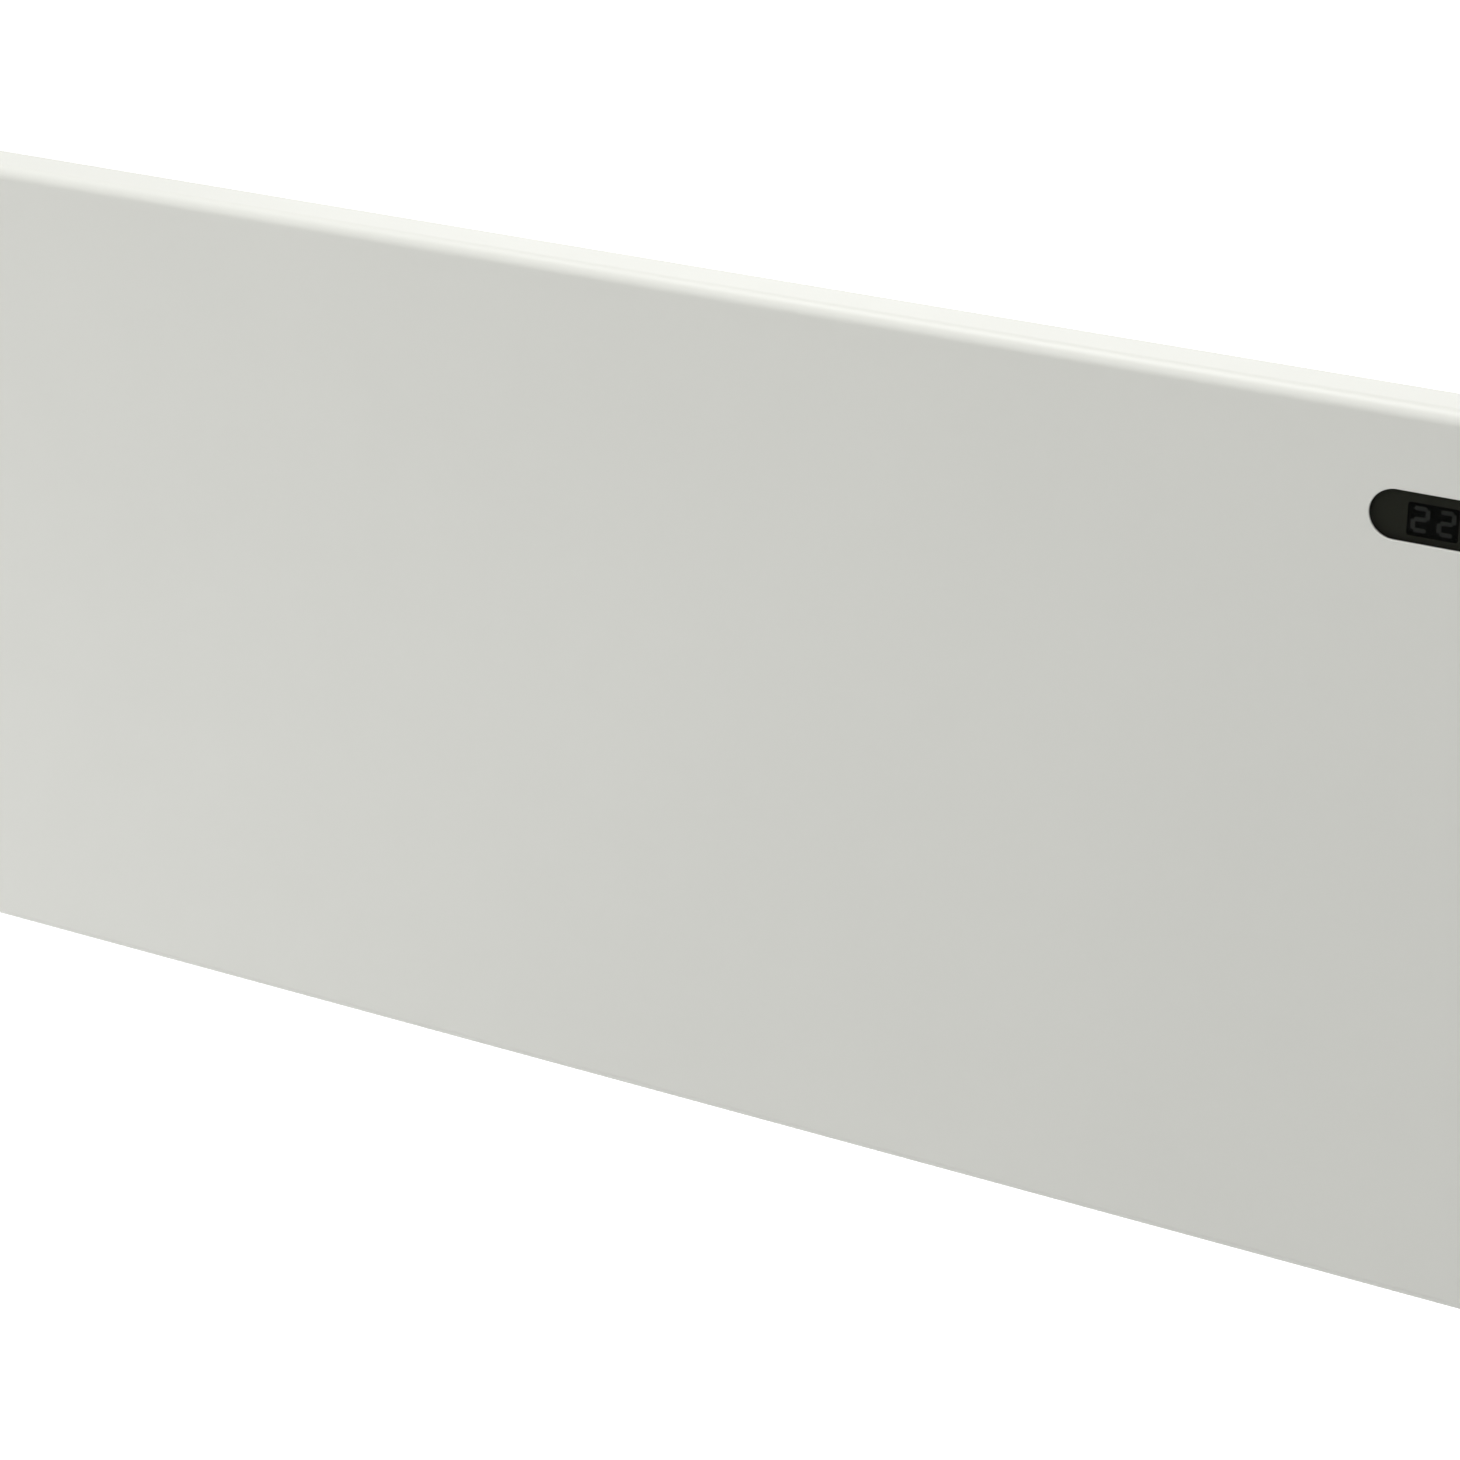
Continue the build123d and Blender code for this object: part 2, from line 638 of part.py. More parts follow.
# ---- controls --------------------------------------------------------------------------------
def make_power_board():
    """The power board with its standoffs and screws."""
    with BuildPart() as board:
        box_between((board_left, board_face_y, board_low), (board_right, board_back_y, board_high))
        fillet(board.edges().filter_by(Axis.Y), board_corner)
        drill_along_y(board_screw_places, screw_hole_radius)
    write_piece(board.part, "power_board")

    standoff_length, standoff_radius = inner_back_y - board_back_y, 3.2
    board_screw_length = 8.0
    with BuildPart() as standoff:
        Cylinder(standoff_radius, standoff_length, align=(Align.CENTER, Align.CENTER, Align.MIN))
        Hole(screw_hole_radius)
    places = [facing_room(x, inner_back_y, z) for x, _, z in board_screw_places]
    write_piece(at_each(standoff.part, places), "board_standoffs")
    screws = at_each(make_screw(board_screw_length), [facing_room(*place) for place in board_screw_places])
    write_piece(screws, "board_screws")


def make_board_components():
    """The larger components that stand on the power board."""
    relay_low, relay_high, relay_front = (362.0, -95.0), (381.0, -67.0), -50.0
    relay_rim, relay_corner = 1.2, 1.0
    with BuildPart() as relay:
        box_between((relay_low[0], relay_front, relay_low[1]), (relay_high[0], board_face_y, relay_high[1]))
        fillet(relay.edges().group_by(Axis.Y)[0], relay_rim)
        fillet(relay.edges().filter_by(Axis.Y), relay_corner)
    write_piece(relay.part, "relay")

    core_left, core_right, core_low, core_high, core_front = 395.0, 427.0, -82.0, -58.0, -52.0
    winding_inset, winding_rise, winding_corner = 5.0, 4.0, 1.5
    with BuildPart() as transformer:
        box_between((core_left, core_front, core_low), (core_right, board_face_y, core_high))
        box_between((core_left + winding_inset, core_front - winding_rise, core_low - winding_rise),
                    (core_right - winding_inset, board_face_y, core_high + winding_rise))
        fillet(transformer.edges().group_by(Axis.Y)[0], winding_corner)
    write_piece(transformer.part, "transformer")

    can_radius, can_height, can_rim = 6.0, 19.0, 1.0
    crimp_height, crimp_radius, crimp_depth = 16.5, 6.3, 0.8
    with BuildPart() as capacitor:
        Cylinder(can_radius, can_height, align=(Align.CENTER, Align.CENTER, Align.MIN))
        fillet(capacitor.edges().group_by(Axis.Z)[-1], can_rim)
        with Locations((0, 0, crimp_height)):
            Torus(crimp_radius, crimp_depth, mode=Mode.SUBTRACT)
    places = [facing_room(370.0, board_face_y, z) for z in (-46.0, -26.0)]
    write_piece(at_each(capacitor.part, places), "capacitors")

    sink_left, sink_low, sink_high = 392.0, -44.0, -12.0
    sink_base_front, sink_front = -39.0, -54.0
    fin_count, fin_pitch, fin_width = 7, 5.6, 1.6
    sink_right = sink_left + (fin_count - 1) * fin_pitch + fin_width
    with BuildPart() as heatsink:
        box_between((sink_left, sink_base_front, sink_low), (sink_right, board_face_y, sink_high))
        for i in range(fin_count):
            fin_left = sink_left + i * fin_pitch
            fin_right = fin_left + fin_width
            box_between((fin_left, sink_front, sink_low), (fin_right, sink_base_front, sink_high))
    write_piece(heatsink.part, "heatsink")

    block_margin, block_bevel, driver_hole_radius, driver_hole_depth = 6.0, 2.5, 2.6, 7.0
    block_left, block_right = block_entry_xs[0] - block_margin, block_entry_xs[-1] + block_margin
    block_front = board_face_y - block_depth
    block_middle_z = (block_low + block_high) / 2
    lead_hole_radius = lead_radius + 0.15
    with BuildPart() as block:
        box_between((block_left, block_front, block_low), (block_right, board_face_y, block_high))
        chamfer(block.edges().group_by(Axis.Y)[0].filter_by(Axis.X), block_bevel)
        with Locations(*[facing_room(x, block_front, block_middle_z) for x in block_entry_xs]):
            Cylinder(driver_hole_radius, 2 * driver_hole_depth, mode=Mode.SUBTRACT)
        with Locations(*[(x, lead_end_y, block_low) for x in block_entry_xs]):
            Cylinder(lead_hole_radius, 2 * lead_insertion + 1.0, mode=Mode.SUBTRACT)
    write_piece(block.part, "terminal_block")

    header_front = -42.0
    ribbon_header_half_depth = 1.6
    with BuildPart() as connectors:
        box_between((410.0, header_front, 2.0), (424.0, board_face_y, ribbon_header_high))
        box_between((433.0, header_front, -12.0), (443.0, board_face_y, -4.0))
        box_between((410.0, ribbon_y - ribbon_header_half_depth, ribbon_high_z),
                    (423.0, ribbon_y + ribbon_header_half_depth, ribbon_high_z + 7.0))
    write_piece(connectors.part, "board_connectors")


def make_leads():
    """Leads between the element, the cutout, the switch, the sensor and the board."""
    rod_left = element_left - rod_overhang - terminal_length
    rod_right = element_right + rod_overhang + terminal_length
    block_z = block_low + lead_insertion
    first_blade_x, second_blade_x = cutout_blade_xs
    left_turn_x, left_run_z = rod_left - 8.0, -162.0
    left_lead = make_lead(
        [(rod_left, element_y, element_z), (left_turn_x, element_y, element_z),
         (left_turn_x, lead_end_y, left_run_z), (block_entry_xs[0], lead_end_y, left_run_z),
         (block_entry_xs[0], lead_end_y, block_z)],
        (5, 8, 8))
    cutout_drop_z = -76.0
    cutout_lead = make_lead(
        [(rod_right, element_y, element_z), (first_blade_x, element_y, element_z),
         (first_blade_x, cutout_lead_y, cutout_drop_z), (first_blade_x, cutout_lead_y, cutout_lead_z)],
        (4, 8))
    partition_drop_z, inner_turn_x, inner_run_z = -74.0, 345.0, -150.0
    block_lead = make_lead(
        [(second_blade_x, cutout_lead_y, cutout_lead_z), (second_blade_x, cutout_lead_y, partition_drop_z),
         (second_blade_x + 8.0, element_y, grommet_z), (inner_turn_x, element_y, grommet_z),
         (inner_turn_x, element_y, inner_run_z), (block_entry_xs[1], lead_end_y, inner_run_z),
         (block_entry_xs[1], lead_end_y, block_z)],
        (6, 6, 8, 8, 8))
    with BuildPart() as element_leads:
        add(left_lead)
        add(cutout_lead)
        add(block_lead)
    write_piece(element_leads.part, "element_leads")

    terminal_x = rocker_back_x - rocker_blade_length
    low_z, high_z = rocker_blade_zs
    switch_runs = (
        (block_entry_xs[3], low_z, terminal_x - 6.0, -146.0),
        (block_entry_xs[4], high_z, terminal_x - 12.0, -138.0),
    )
    with BuildPart() as switch_leads:
        for entry_x, blade_z, drop_x, drop_z in switch_runs:
            add(make_lead(
                [(terminal_x, rocker_y, blade_z), (drop_x, rocker_y, blade_z), (drop_x, rocker_y, drop_z),
                 (entry_x, lead_end_y, drop_z), (entry_x, lead_end_y, block_z)],
                (4, 5, 5)))
    write_piece(switch_leads.part, "switch_leads")

    sensor_lead_radius = 0.9
    rise_x, socket_y, socket_z, cross_low, cross_high = 438.0, -38.5, -12.0, -60.0, -40.0
    sensor_lead = make_lead(
        [(sensor_x + sensor_length / 2, sensor_y, sensor_z), (rise_x, sensor_y, sensor_z),
         (rise_x, sensor_y, cross_low), (rise_x, socket_y, cross_high), (rise_x, socket_y, socket_z)],
        (8, 10, 8), sensor_lead_radius)
    write_piece(sensor_lead, "sensor_lead")

    ribbon_left, ribbon_width, ribbon_thickness, ribbon_bend = 411.5, 11.0, 0.7, 6.0
    ribbon_line, ribbon_low_y = ribbon_y + ribbon_thickness / 2, -38.0
    cross_high, cross_low = 46.0, 26.0
    ribbon = folded_along_x(
        [(ribbon_line, ribbon_high_z), (ribbon_line, cross_high), (ribbon_low_y, cross_low),
         (ribbon_low_y, ribbon_header_high)],
        (ribbon_bend, ribbon_bend), ribbon_thickness, ribbon_left, ribbon_left + ribbon_width, Side.RIGHT)
    write_piece(ribbon, "display_ribbon")


def make_sensor():
    """The room temperature sensor and the clip that holds it above the holes in the underside."""
    with BuildPart() as sensor:
        with Locations(Location((sensor_x, sensor_y, sensor_z), (0, 90, 0))):
            Cylinder(sensor_radius, sensor_length)
        fillet(sensor.edges().filter_by(GeomType.CIRCLE).group_by(Axis.X)[0], sensor_radius / 2)
    write_piece(sensor.part, "room_sensor")

    floor_z = -half_height + sheet
    foot_half_x, foot_half_y, foot_high = 8.0, 4.5, floor_z + 1.2
    cradle_half_y, cradle_high, cradle_thickness = 3.6, sensor_z + 1.5, 2.0
    with BuildPart() as clip:
        box_between((sensor_x - foot_half_x, sensor_y - foot_half_y, floor_z),
                    (sensor_x + foot_half_x, sensor_y + foot_half_y, foot_high))
        for cradle_x in (sensor_x - 6.0, sensor_x + 4.0):
            box_between((cradle_x, sensor_y - cradle_half_y, floor_z),
                        (cradle_x + cradle_thickness, sensor_y + cradle_half_y, cradle_high))
        with Locations(*[(sensor_x + dx, sensor_y, floor_z) for dx in sensing_offsets]):
            Cylinder(sensing_hole_radius, 4.0, mode=Mode.SUBTRACT)
        with Locations(Location((sensor_x, sensor_y, sensor_z), (0, 90, 0))):
            Cylinder(sensor_radius + running_gap, sensor_length, mode=Mode.SUBTRACT)
    write_piece(clip.part, "sensor_clip")


def make_display():
    """The smoked window, its housing and the board behind it."""
    def pill(rim):
        with BuildSketch() as shape:
            SlotOverall(display_length + 2 * rim, 2 * (display_radius + rim))
        return shape.sketch

    def at_depth(y):
        """A plane facing the room at one depth, centred on the display."""
        return Plane((display_centre_x, y, display_z), x_dir=(1, 0, 0), z_dir=(0, -1, 0))

    flange_back = window_flange_y + window_flange_depth
    window_easing = 0.35
    with BuildPart() as window:
        with BuildSketch(at_depth(window_flange_y)):
            add(pill(0))
        extrude(amount=window_flange_y - front_y - window_recess)
        fillet(window.edges().group_by(Axis.Y)[0], window_easing)
        with BuildSketch(at_depth(flange_back)):
            add(pill(window_flange_rim))
        extrude(amount=window_flange_depth)
        drill_along_y([(x, window_flange_y, display_z) for x in button_xs], button_radius + button_gap)
    write_piece(window.part, "display_window")

    ledge_front, ledge_back = flange_back + 0.1, flange_back + 1.5
    wall, housing_back, housing_corner = 1.5, pan_inner_y + 13.5, 1.4
    body_size, ear_size, ear_corner = (display_length + 11.0, 28.4), (14.0, 10.0), 3.0
    ear_x = display_stud_xs[1] - display_centre_x
    post_radius, post_hole_radius, stud_hole_radius = 1.7, 0.9, 1.6
    recess_rim, opening_rim = window_flange_rim + 0.1, -0.4
    with BuildPart() as housing:
        with BuildSketch(at_depth(ledge_back)):
            Rectangle(*body_size)
            with Locations((-ear_x, 0), (ear_x, 0)):
                RectangleRounded(*ear_size, ear_corner)
        extrude(amount=ledge_back - pan_inner_y)
        with BuildSketch(at_depth(housing_back)):
            Rectangle(*body_size)
            Rectangle(body_size[0] - 2 * wall, body_size[1] - 2 * wall, mode=Mode.SUBTRACT)
        extrude(amount=housing_back - ledge_back)
        fillet(housing.edges().filter_by(Axis.Y).group_by(SortBy.LENGTH)[-1], housing_corner)
        with BuildSketch(at_depth(ledge_front)):
            add(pill(recess_rim))
        extrude(amount=ledge_front - front_y, mode=Mode.SUBTRACT)
        with BuildSketch(at_depth(ledge_back)):
            add(pill(opening_rim))
        extrude(amount=ledge_back - front_y, mode=Mode.SUBTRACT)
        for post_x, post_z in display_post_places:
            with Locations(facing_wall(post_x, ledge_back, post_z)):
                Cylinder(post_radius, display_board_front - ledge_back,
                         align=(Align.CENTER, Align.CENTER, Align.MIN))
        drill_along_y([(x, display_board_front, z) for x, z in display_post_places], post_hole_radius, 11.0)
        drill_along_y([(x, pan_inner_y, display_z) for x in display_stud_xs], stud_hole_radius, 12.0)
    write_piece(housing.part, "display_housing")

    nut = make_nut(5.5, 2.4, display_stud_radius + running_gap)
    nuts = at_each(nut, [facing_wall(x, ledge_back, display_z) for x in display_stud_xs])
    write_piece(nuts, "display_nuts")

    board_half_x, board_half_z = 52.0, 12.4
    with BuildPart() as board:
        box_between((display_centre_x - board_half_x, display_board_front, display_z - board_half_z),
                    (display_centre_x + board_half_x, display_board_front + board_thickness,
                     display_z + board_half_z))
        fillet(board.edges().filter_by(Axis.Y), board_corner / 2)
        drill_along_y([(x, display_board_front, z) for x, z in display_post_places], post_hole_radius)
    write_piece(board.part, "display_board")
    display_board_back = display_board_front + board_thickness
    screws = at_each(make_screw(5.0, head_radius=1.7, radius=0.8),
                     [facing_wall(x, display_board_back, z) for x, z in display_post_places])
    write_piece(screws, "display_board_screws")

    module_centre_x, module_corner = sum(digit_xs) / 2, 0.6
    with BuildPart() as module:
        box_between((module_centre_x - module_half_x, module_face_y, digit_z - module_half_z),
                    (module_centre_x + module_half_x, display_board_front, digit_z + module_half_z))
        fillet(module.edges().filter_by(Axis.Y), module_corner)
    write_piece(module.part, "digit_display")

    segment_depth, segment_gap = 0.15, 0.25
    half_w, half_h = (digit_width - digit_stroke) / 2, (digit_height - digit_stroke) / 2
    bar = (digit_width - digit_stroke - 2 * segment_gap, digit_stroke)
    upright = (digit_stroke, half_h - 2 * segment_gap)
    with BuildPart() as segments:
        for digit_x in digit_xs:
            with BuildSketch(at_depth(module_face_y)):
                with Locations((digit_x - display_centre_x, digit_z - display_z)):
                    with Locations((0, half_h), (0, 0), (0, -half_h)):
                        SlotOverall(*bar)
                    with Locations((half_w, half_h / 2), (-half_w, -half_h / 2)):
                        Rectangle(*upright)
            extrude(amount=segment_depth)
    write_piece(segments.part, "digit_segments")

    switch_side, switch_height, switch_bevel, switch_floor = 6.0, 3.5, 0.4, 0.6
    switch_face = display_board_front - switch_height
    with BuildPart() as switch:
        Box(switch_side, switch_side, switch_height, align=(Align.CENTER, Align.CENTER, Align.MIN))
        chamfer(switch.edges().group_by(Axis.Z)[-1], switch_bevel)
        with Locations((0, 0, switch_floor)):
            Cylinder(stem_radius + running_gap, switch_height,
                     align=(Align.CENTER, Align.CENTER, Align.MIN), mode=Mode.SUBTRACT)
    switches = at_each(switch.part, [facing_room(x, display_board_front, display_z) for x in button_xs])
    write_piece(switches, "tact_switches")

    flange_front = flange_back + 0.1
    flange_rim, button_flange, button_easing = 1.2, 1.0, 0.5
    stem_insertion = 2.1
    mark_length, mark_width, mark_depth = 4.4, 0.7, 0.2
    for button_x, name in zip(button_xs, button_names):
        with BuildPart() as button:
            with Locations(facing_room(button_x, flange_front, display_z)):
                Cylinder(button_radius, flange_front - front_y,
                         align=(Align.CENTER, Align.CENTER, Align.MIN))
            fillet(button.faces().sort_by(Axis.Y)[0].edges(), button_easing)
            with Locations(facing_wall(button_x, flange_front, display_z)):
                Cylinder(button_radius + flange_rim, button_flange,
                         align=(Align.CENTER, Align.CENTER, Align.MIN))
                Cylinder(stem_radius, switch_face - flange_front + stem_insertion,
                         align=(Align.CENTER, Align.CENTER, Align.MIN))
            with BuildSketch(Plane((button_x, front_y, display_z), x_dir=(1, 0, 0), z_dir=(0, -1, 0))):
                if name == "button_mode":
                    Circle(mark_length / 2)
                    Circle(mark_length / 2 - mark_width, mode=Mode.SUBTRACT)
                else:
                    Rectangle(mark_length, mark_width)
                    if name == "button_plus":
                        Rectangle(mark_width, mark_length)
            extrude(amount=-mark_depth, mode=Mode.SUBTRACT)
        write_piece(button.part, name)


def make_rocker_switch():
    """The power switch in the right end cap: housing, blades and paddle."""
    body_y, body_z = rocker_body
    flange_corner = 1.5
    well_depth, well_gap = 8.5, 0.4
    with BuildPart() as housing:
        with BuildSketch(Plane.YZ.offset(half_width - rocker_flange_depth)):
            with Locations((rocker_y, rocker_z)):
                RectangleRounded(*rocker_flange, flange_corner)
        extrude(amount=rocker_flange_depth)
        with BuildSketch(Plane.YZ.offset(rocker_back_x)):
            with Locations((rocker_y, rocker_z)):
                Rectangle(body_y, body_z)
        extrude(amount=half_width - rocker_flange_depth - rocker_back_x)
        with BuildSketch(Plane.YZ.offset(half_width)):
            with Locations((rocker_y, rocker_z)):
                Rectangle(2 * (rocker_half_width + well_gap), 2 * (rocker_reach + 2 * well_gap))
        extrude(amount=-well_depth, mode=Mode.SUBTRACT)
        with Locations(facing_room(rocker_pivot_x, rocker_y, rocker_z)):
            Cylinder(trunnion_radius + running_gap, body_y - 1.0, mode=Mode.SUBTRACT)
    write_piece(housing.part, "rocker_housing")

    blade_half_width, blade_half_thickness = 2.4, 0.4
    with BuildPart() as blades:
        for blade_z in rocker_blade_zs:
            box_between((rocker_back_x - rocker_blade_length, rocker_y - blade_half_width,
                         blade_z - blade_half_thickness),
                        (rocker_back_x, rocker_y + blade_half_width, blade_z + blade_half_thickness))
    write_piece(blades.part, "rocker_terminals")

    tip_x, crest_x, dip_x, crest_z = 2.2, 2.6, 1.9, rocker_reach - 0.8
    heel_x, keel_x, keel_z = -1.0, -2.5, 2.0
    with BuildPart() as paddle:
        with BuildSketch(Plane.XZ.offset(-rocker_half_width)):
            with BuildLine():
                Line((tip_x, -rocker_reach), (crest_x, -crest_z))
                ThreePointArc((crest_x, -crest_z), (dip_x, 0), (crest_x, crest_z))
                Polyline((crest_x, crest_z), (tip_x, rocker_reach), (heel_x, rocker_reach),
                         (keel_x, keel_z), (keel_x, -keel_z), (heel_x, -rocker_reach),
                         (tip_x, -rocker_reach))
            make_face()
        extrude(amount=2 * rocker_half_width)
        with Locations(facing_room(0, 0, 0)):
            Cylinder(trunnion_radius, 2 * rocker_half_width + 1.4)
        # on and off marks
        mark_z, mark_size, mark_line, mark_depth = 4.6, 3.0, 0.6, 0.75
        with BuildSketch(Plane.YZ.offset(crest_x)):
            with Locations((0, mark_z)):
                Rectangle(mark_line, mark_size)
            with Locations((0, -mark_z)):
                Circle(mark_size / 2)
                Circle(mark_size / 2 - mark_line, mode=Mode.SUBTRACT)
        extrude(amount=-mark_depth, mode=Mode.SUBTRACT)
    off_place = Location((rocker_pivot_x, rocker_y, rocker_z), (0, rocker_tilt, 0))
    write_piece(off_place * paddle.part, "power_rocker")


def make_cord_gland():
    """The cord's inlet in the bottom of the casing, with its nut."""
    flange_radius, nose_low, neck_high = 10.0, -184.0, -160.0
    rim_low, bevel_low, shoulder_radius = casing_bottom - 2.6, casing_bottom - 3.6, 7.6
    collar_radius, collar_low, nose_radius = 5.8, nose_low + 0.8, 5.2
    with BuildPart() as gland:
        with BuildSketch(Plane.XZ):
            with BuildLine():
                Polyline((cord_bore_radius, neck_high), (gland_neck_radius, neck_high),
                         (gland_neck_radius, casing_bottom), (flange_radius, casing_bottom),
                         (flange_radius, rim_low), (shoulder_radius, bevel_low),
                         (collar_radius, collar_low), (nose_radius, nose_low),
                         (cord_bore_radius, nose_low), close=True)
            make_face()
        revolve(axis=Axis.Z)
    write_piece(Location((gland_x, gland_y, 0)) * gland.part, "cord_gland")
    nut_across_flats, nut_height = 19.0, 5.0
    nut = make_nut(nut_across_flats, nut_height, gland_neck_radius + running_gap)
    write_piece(Location((gland_x, gland_y, casing_bottom + sheet)) * nut, "gland_nut")
    earth_screw = facing_room(*earth_screw_place) * make_screw(4.0, 3.6)
    write_piece(earth_screw, "earth_screw")


# ---- wall bracket ----------------------------------------------------------------------------
def make_bracket_arm(side, name):
    """One folded upright, with wall screw holes, pin holes and a window for the latch."""
    near, far = arm_x - arm_width / 2, arm_x + arm_width / 2
    channel = [(near, -arm_depth), (near, 0), (far, 0), (far, -arm_depth)]
    cut_high, cut_front_y = pivot_z + 8.0, -13.5
    lever_window = (6.0, latch_width + 1.6, 6.6)
    lever_window_z = latch_z + 2.2
    with BuildPart() as arm:
        with BuildSketch(Plane.XY.offset(arm_bottom)):
            add(folded_section(channel, (arm_bend, arm_bend), arm_sheet, Side.RIGHT))
        extrude(amount=arm_top - arm_bottom)
        # the lower corner is cut back, where the casing swings in
        with BuildSketch(Plane.YZ.offset(near - 1)):
            with BuildLine():
                Polyline((-arm_depth - 1, cut_high), (-arm_depth, cut_high), (cut_front_y, arm_bottom),
                         (cut_front_y, arm_bottom - 1), (-arm_depth - 1, arm_bottom - 1), close=True)
            make_face()
        extrude(amount=arm_width + 2, mode=Mode.SUBTRACT)
        drill_along_y([(arm_x, 0, z) for z in (-wall_hole_z, wall_hole_z)], wall_hole_radius)
        drill_along_y([(arm_x, 0, latch_z)], stud_radius + running_gap)
        with Locations(Location((arm_x, pivot_y, pivot_z), (0, 90, 0))):
            Cylinder(pin_radius + running_gap, arm_width + 4, mode=Mode.SUBTRACT)
        with Locations(*[Location((near, rivet_y, z), (0, 90, 0)) for z in crossbar_rivet_zs]):
            Cylinder(rivet_hole_radius, 4 * arm_sheet, mode=Mode.SUBTRACT)
        # window for the latch lever, in the inner flange
        with Locations((near, latch_back_y - latch_width / 2, lever_window_z)):
            Box(*lever_window, mode=Mode.SUBTRACT)
    piece = arm.part if side > 0 else mirror(arm.part, about=Plane.YZ)
    write_piece(piece, name)


def make_crossbar(name):
    """A channel between the two arms, with a tab at each end riveted to the arm."""
    middle_z = crossbar_zs[name]
    reach = arm_x - arm_width / 2
    lip_y, tab_y = -7.5, -16.0
    high, low = middle_z + crossbar_width / 2, middle_z - crossbar_width / 2
    with BuildPart() as crossbar:
        outline = [(lip_y, high), (0, high), (0, low), (lip_y, low)]
        add(folded_along_x(outline, (arm_bend, arm_bend), arm_sheet, -reach + arm_sheet, reach - arm_sheet,
                           Side.RIGHT))
        for side in (-1, 1):
            start, end = sorted((side * reach, side * (reach - arm_sheet)))
            box_between((start, tab_y, low + arm_bend), (end, 0, high - arm_bend))
        with Locations(*[Location((side * reach, rivet_y, middle_z + dz), (0, 90, 0))
                         for side in (-1, 1) for dz in crossbar_rivet_offsets]):
            Cylinder(rivet_hole_radius, 4 * arm_sheet, mode=Mode.SUBTRACT)
    write_piece(crossbar.part, name)


def make_bracket_fasteners():
    """Rivets, hinge pins and latch studs, all fixed in the bracket."""
    near = arm_x - arm_width / 2
    rivet_places = []
    for z in crossbar_rivet_zs:
        rivet_places.append(Location((near - arm_sheet, rivet_y, z), (0, -90, 0)))
        rivet_places.append(Location((arm_sheet - near, rivet_y, z), (0, 90, 0)))
    write_piece(at_each(make_rivet(2 * arm_sheet), rivet_places), "bracket_rivets")

    head_radius, head_height, head_easing = 4.5, 1.5, 0.6
    with BuildPart() as pin:
        Cylinder(pin_radius, arm_width)
        with Locations((0, 0, arm_width / 2), (0, 0, -arm_width / 2 - head_height)):
            Cylinder(head_radius, head_height, align=(Align.CENTER, Align.CENTER, Align.MIN))
        ends = pin.edges().group_by(Axis.Z)
        fillet(ends[0] + ends[-1], head_easing)
    pins = at_each(pin.part, [Location((side * arm_x, pivot_y, pivot_z), (0, 90, 0)) for side in (-1, 1)])
    write_piece(pins, "hinge_pins")

    lever_gap = 0.1
    shoulder_radius, shoulder_length = stud_radius + 1.0, -latch_back_y - arm_sheet - lever_gap
    cap_radius, cap_height, cap_easing = stud_radius + 1.2, 1.0, 0.4
    shank_length = -latch_back_y + latch_width + lever_gap
    with BuildPart() as stud:
        Cylinder(stud_radius, shank_length, align=(Align.CENTER, Align.CENTER, Align.MIN))
        with Locations((0, 0, arm_sheet)):
            Cylinder(shoulder_radius, shoulder_length, align=(Align.CENTER, Align.CENTER, Align.MIN))
        with Locations((0, 0, shank_length)):
            Cylinder(cap_radius, cap_height, align=(Align.CENTER, Align.CENTER, Align.MIN))
        fillet(stud.edges().group_by(Axis.Z)[-1], cap_easing)
    studs = at_each(stud.part, [facing_room(side * arm_x, 0, latch_z) for side in (-1, 1)])
    write_piece(studs, "latch_pivot_studs")


def make_latch(side, name):
    """A sprung lever on its stud, with a hooked tongue that catches inside the casing's slot."""
    sheet_low = eye_radius - latch_sheet
    tongue_bend = 1.6
    with BuildPart() as latch:
        with BuildSketch(Plane.XZ.offset(-latch_back_y)):
            Circle(eye_radius)
            with Locations((-latch_reach / 2, sheet_low + latch_sheet / 2)):
                Rectangle(latch_reach, latch_sheet)
            Circle(stud_radius + running_gap, mode=Mode.SUBTRACT)
        extrude(amount=latch_width)
        tongue = [
            (latch_back_y - 1.0, sheet_low),
            (tongue_tip_y, sheet_low),
            (barb_y, barb_top - latch_z),
        ]
        with BuildSketch(Plane.YZ.offset(-latch_reach)):
            add(folded_section(tongue, (tongue_bend,), latch_sheet, Side.RIGHT))
        extrude(amount=tongue_width)
    piece = Location((arm_x, 0, latch_z)) * latch.part
    if side < 0:
        piece = mirror(piece, about=Plane.YZ)
    write_piece(piece, name)


def make_latch_springs():
    """A bent wire under each latch lever, anchored on the arm's inner flange."""
    wire_radius = 0.4
    wire_y = latch_back_y - latch_width / 2
    flange_face = arm_x - arm_width / 2 + arm_sheet
    lever_low = latch_z + eye_radius - latch_sheet - wire_radius - running_gap
    anchor_x, turn_x, knee_x = flange_face + wire_radius + running_gap, flange_face + 5.2, flange_face + 4.2
    knee_z, anchor_high, anchor_low = 110.0, 107.0, 102.0
    right_spring = make_lead(
        [(flange_face + 0.6, wire_y, lever_low), (turn_x, wire_y, lever_low), (knee_x, wire_y, knee_z),
         (anchor_x, wire_y, anchor_high), (anchor_x, wire_y, anchor_low)],
        (1.6, 1.2, 1.2), wire_radius)
    with BuildPart() as springs:
        add(right_spring)
        add(mirror(right_spring, about=Plane.YZ))
    write_piece(springs.part, "latch_return_springs")


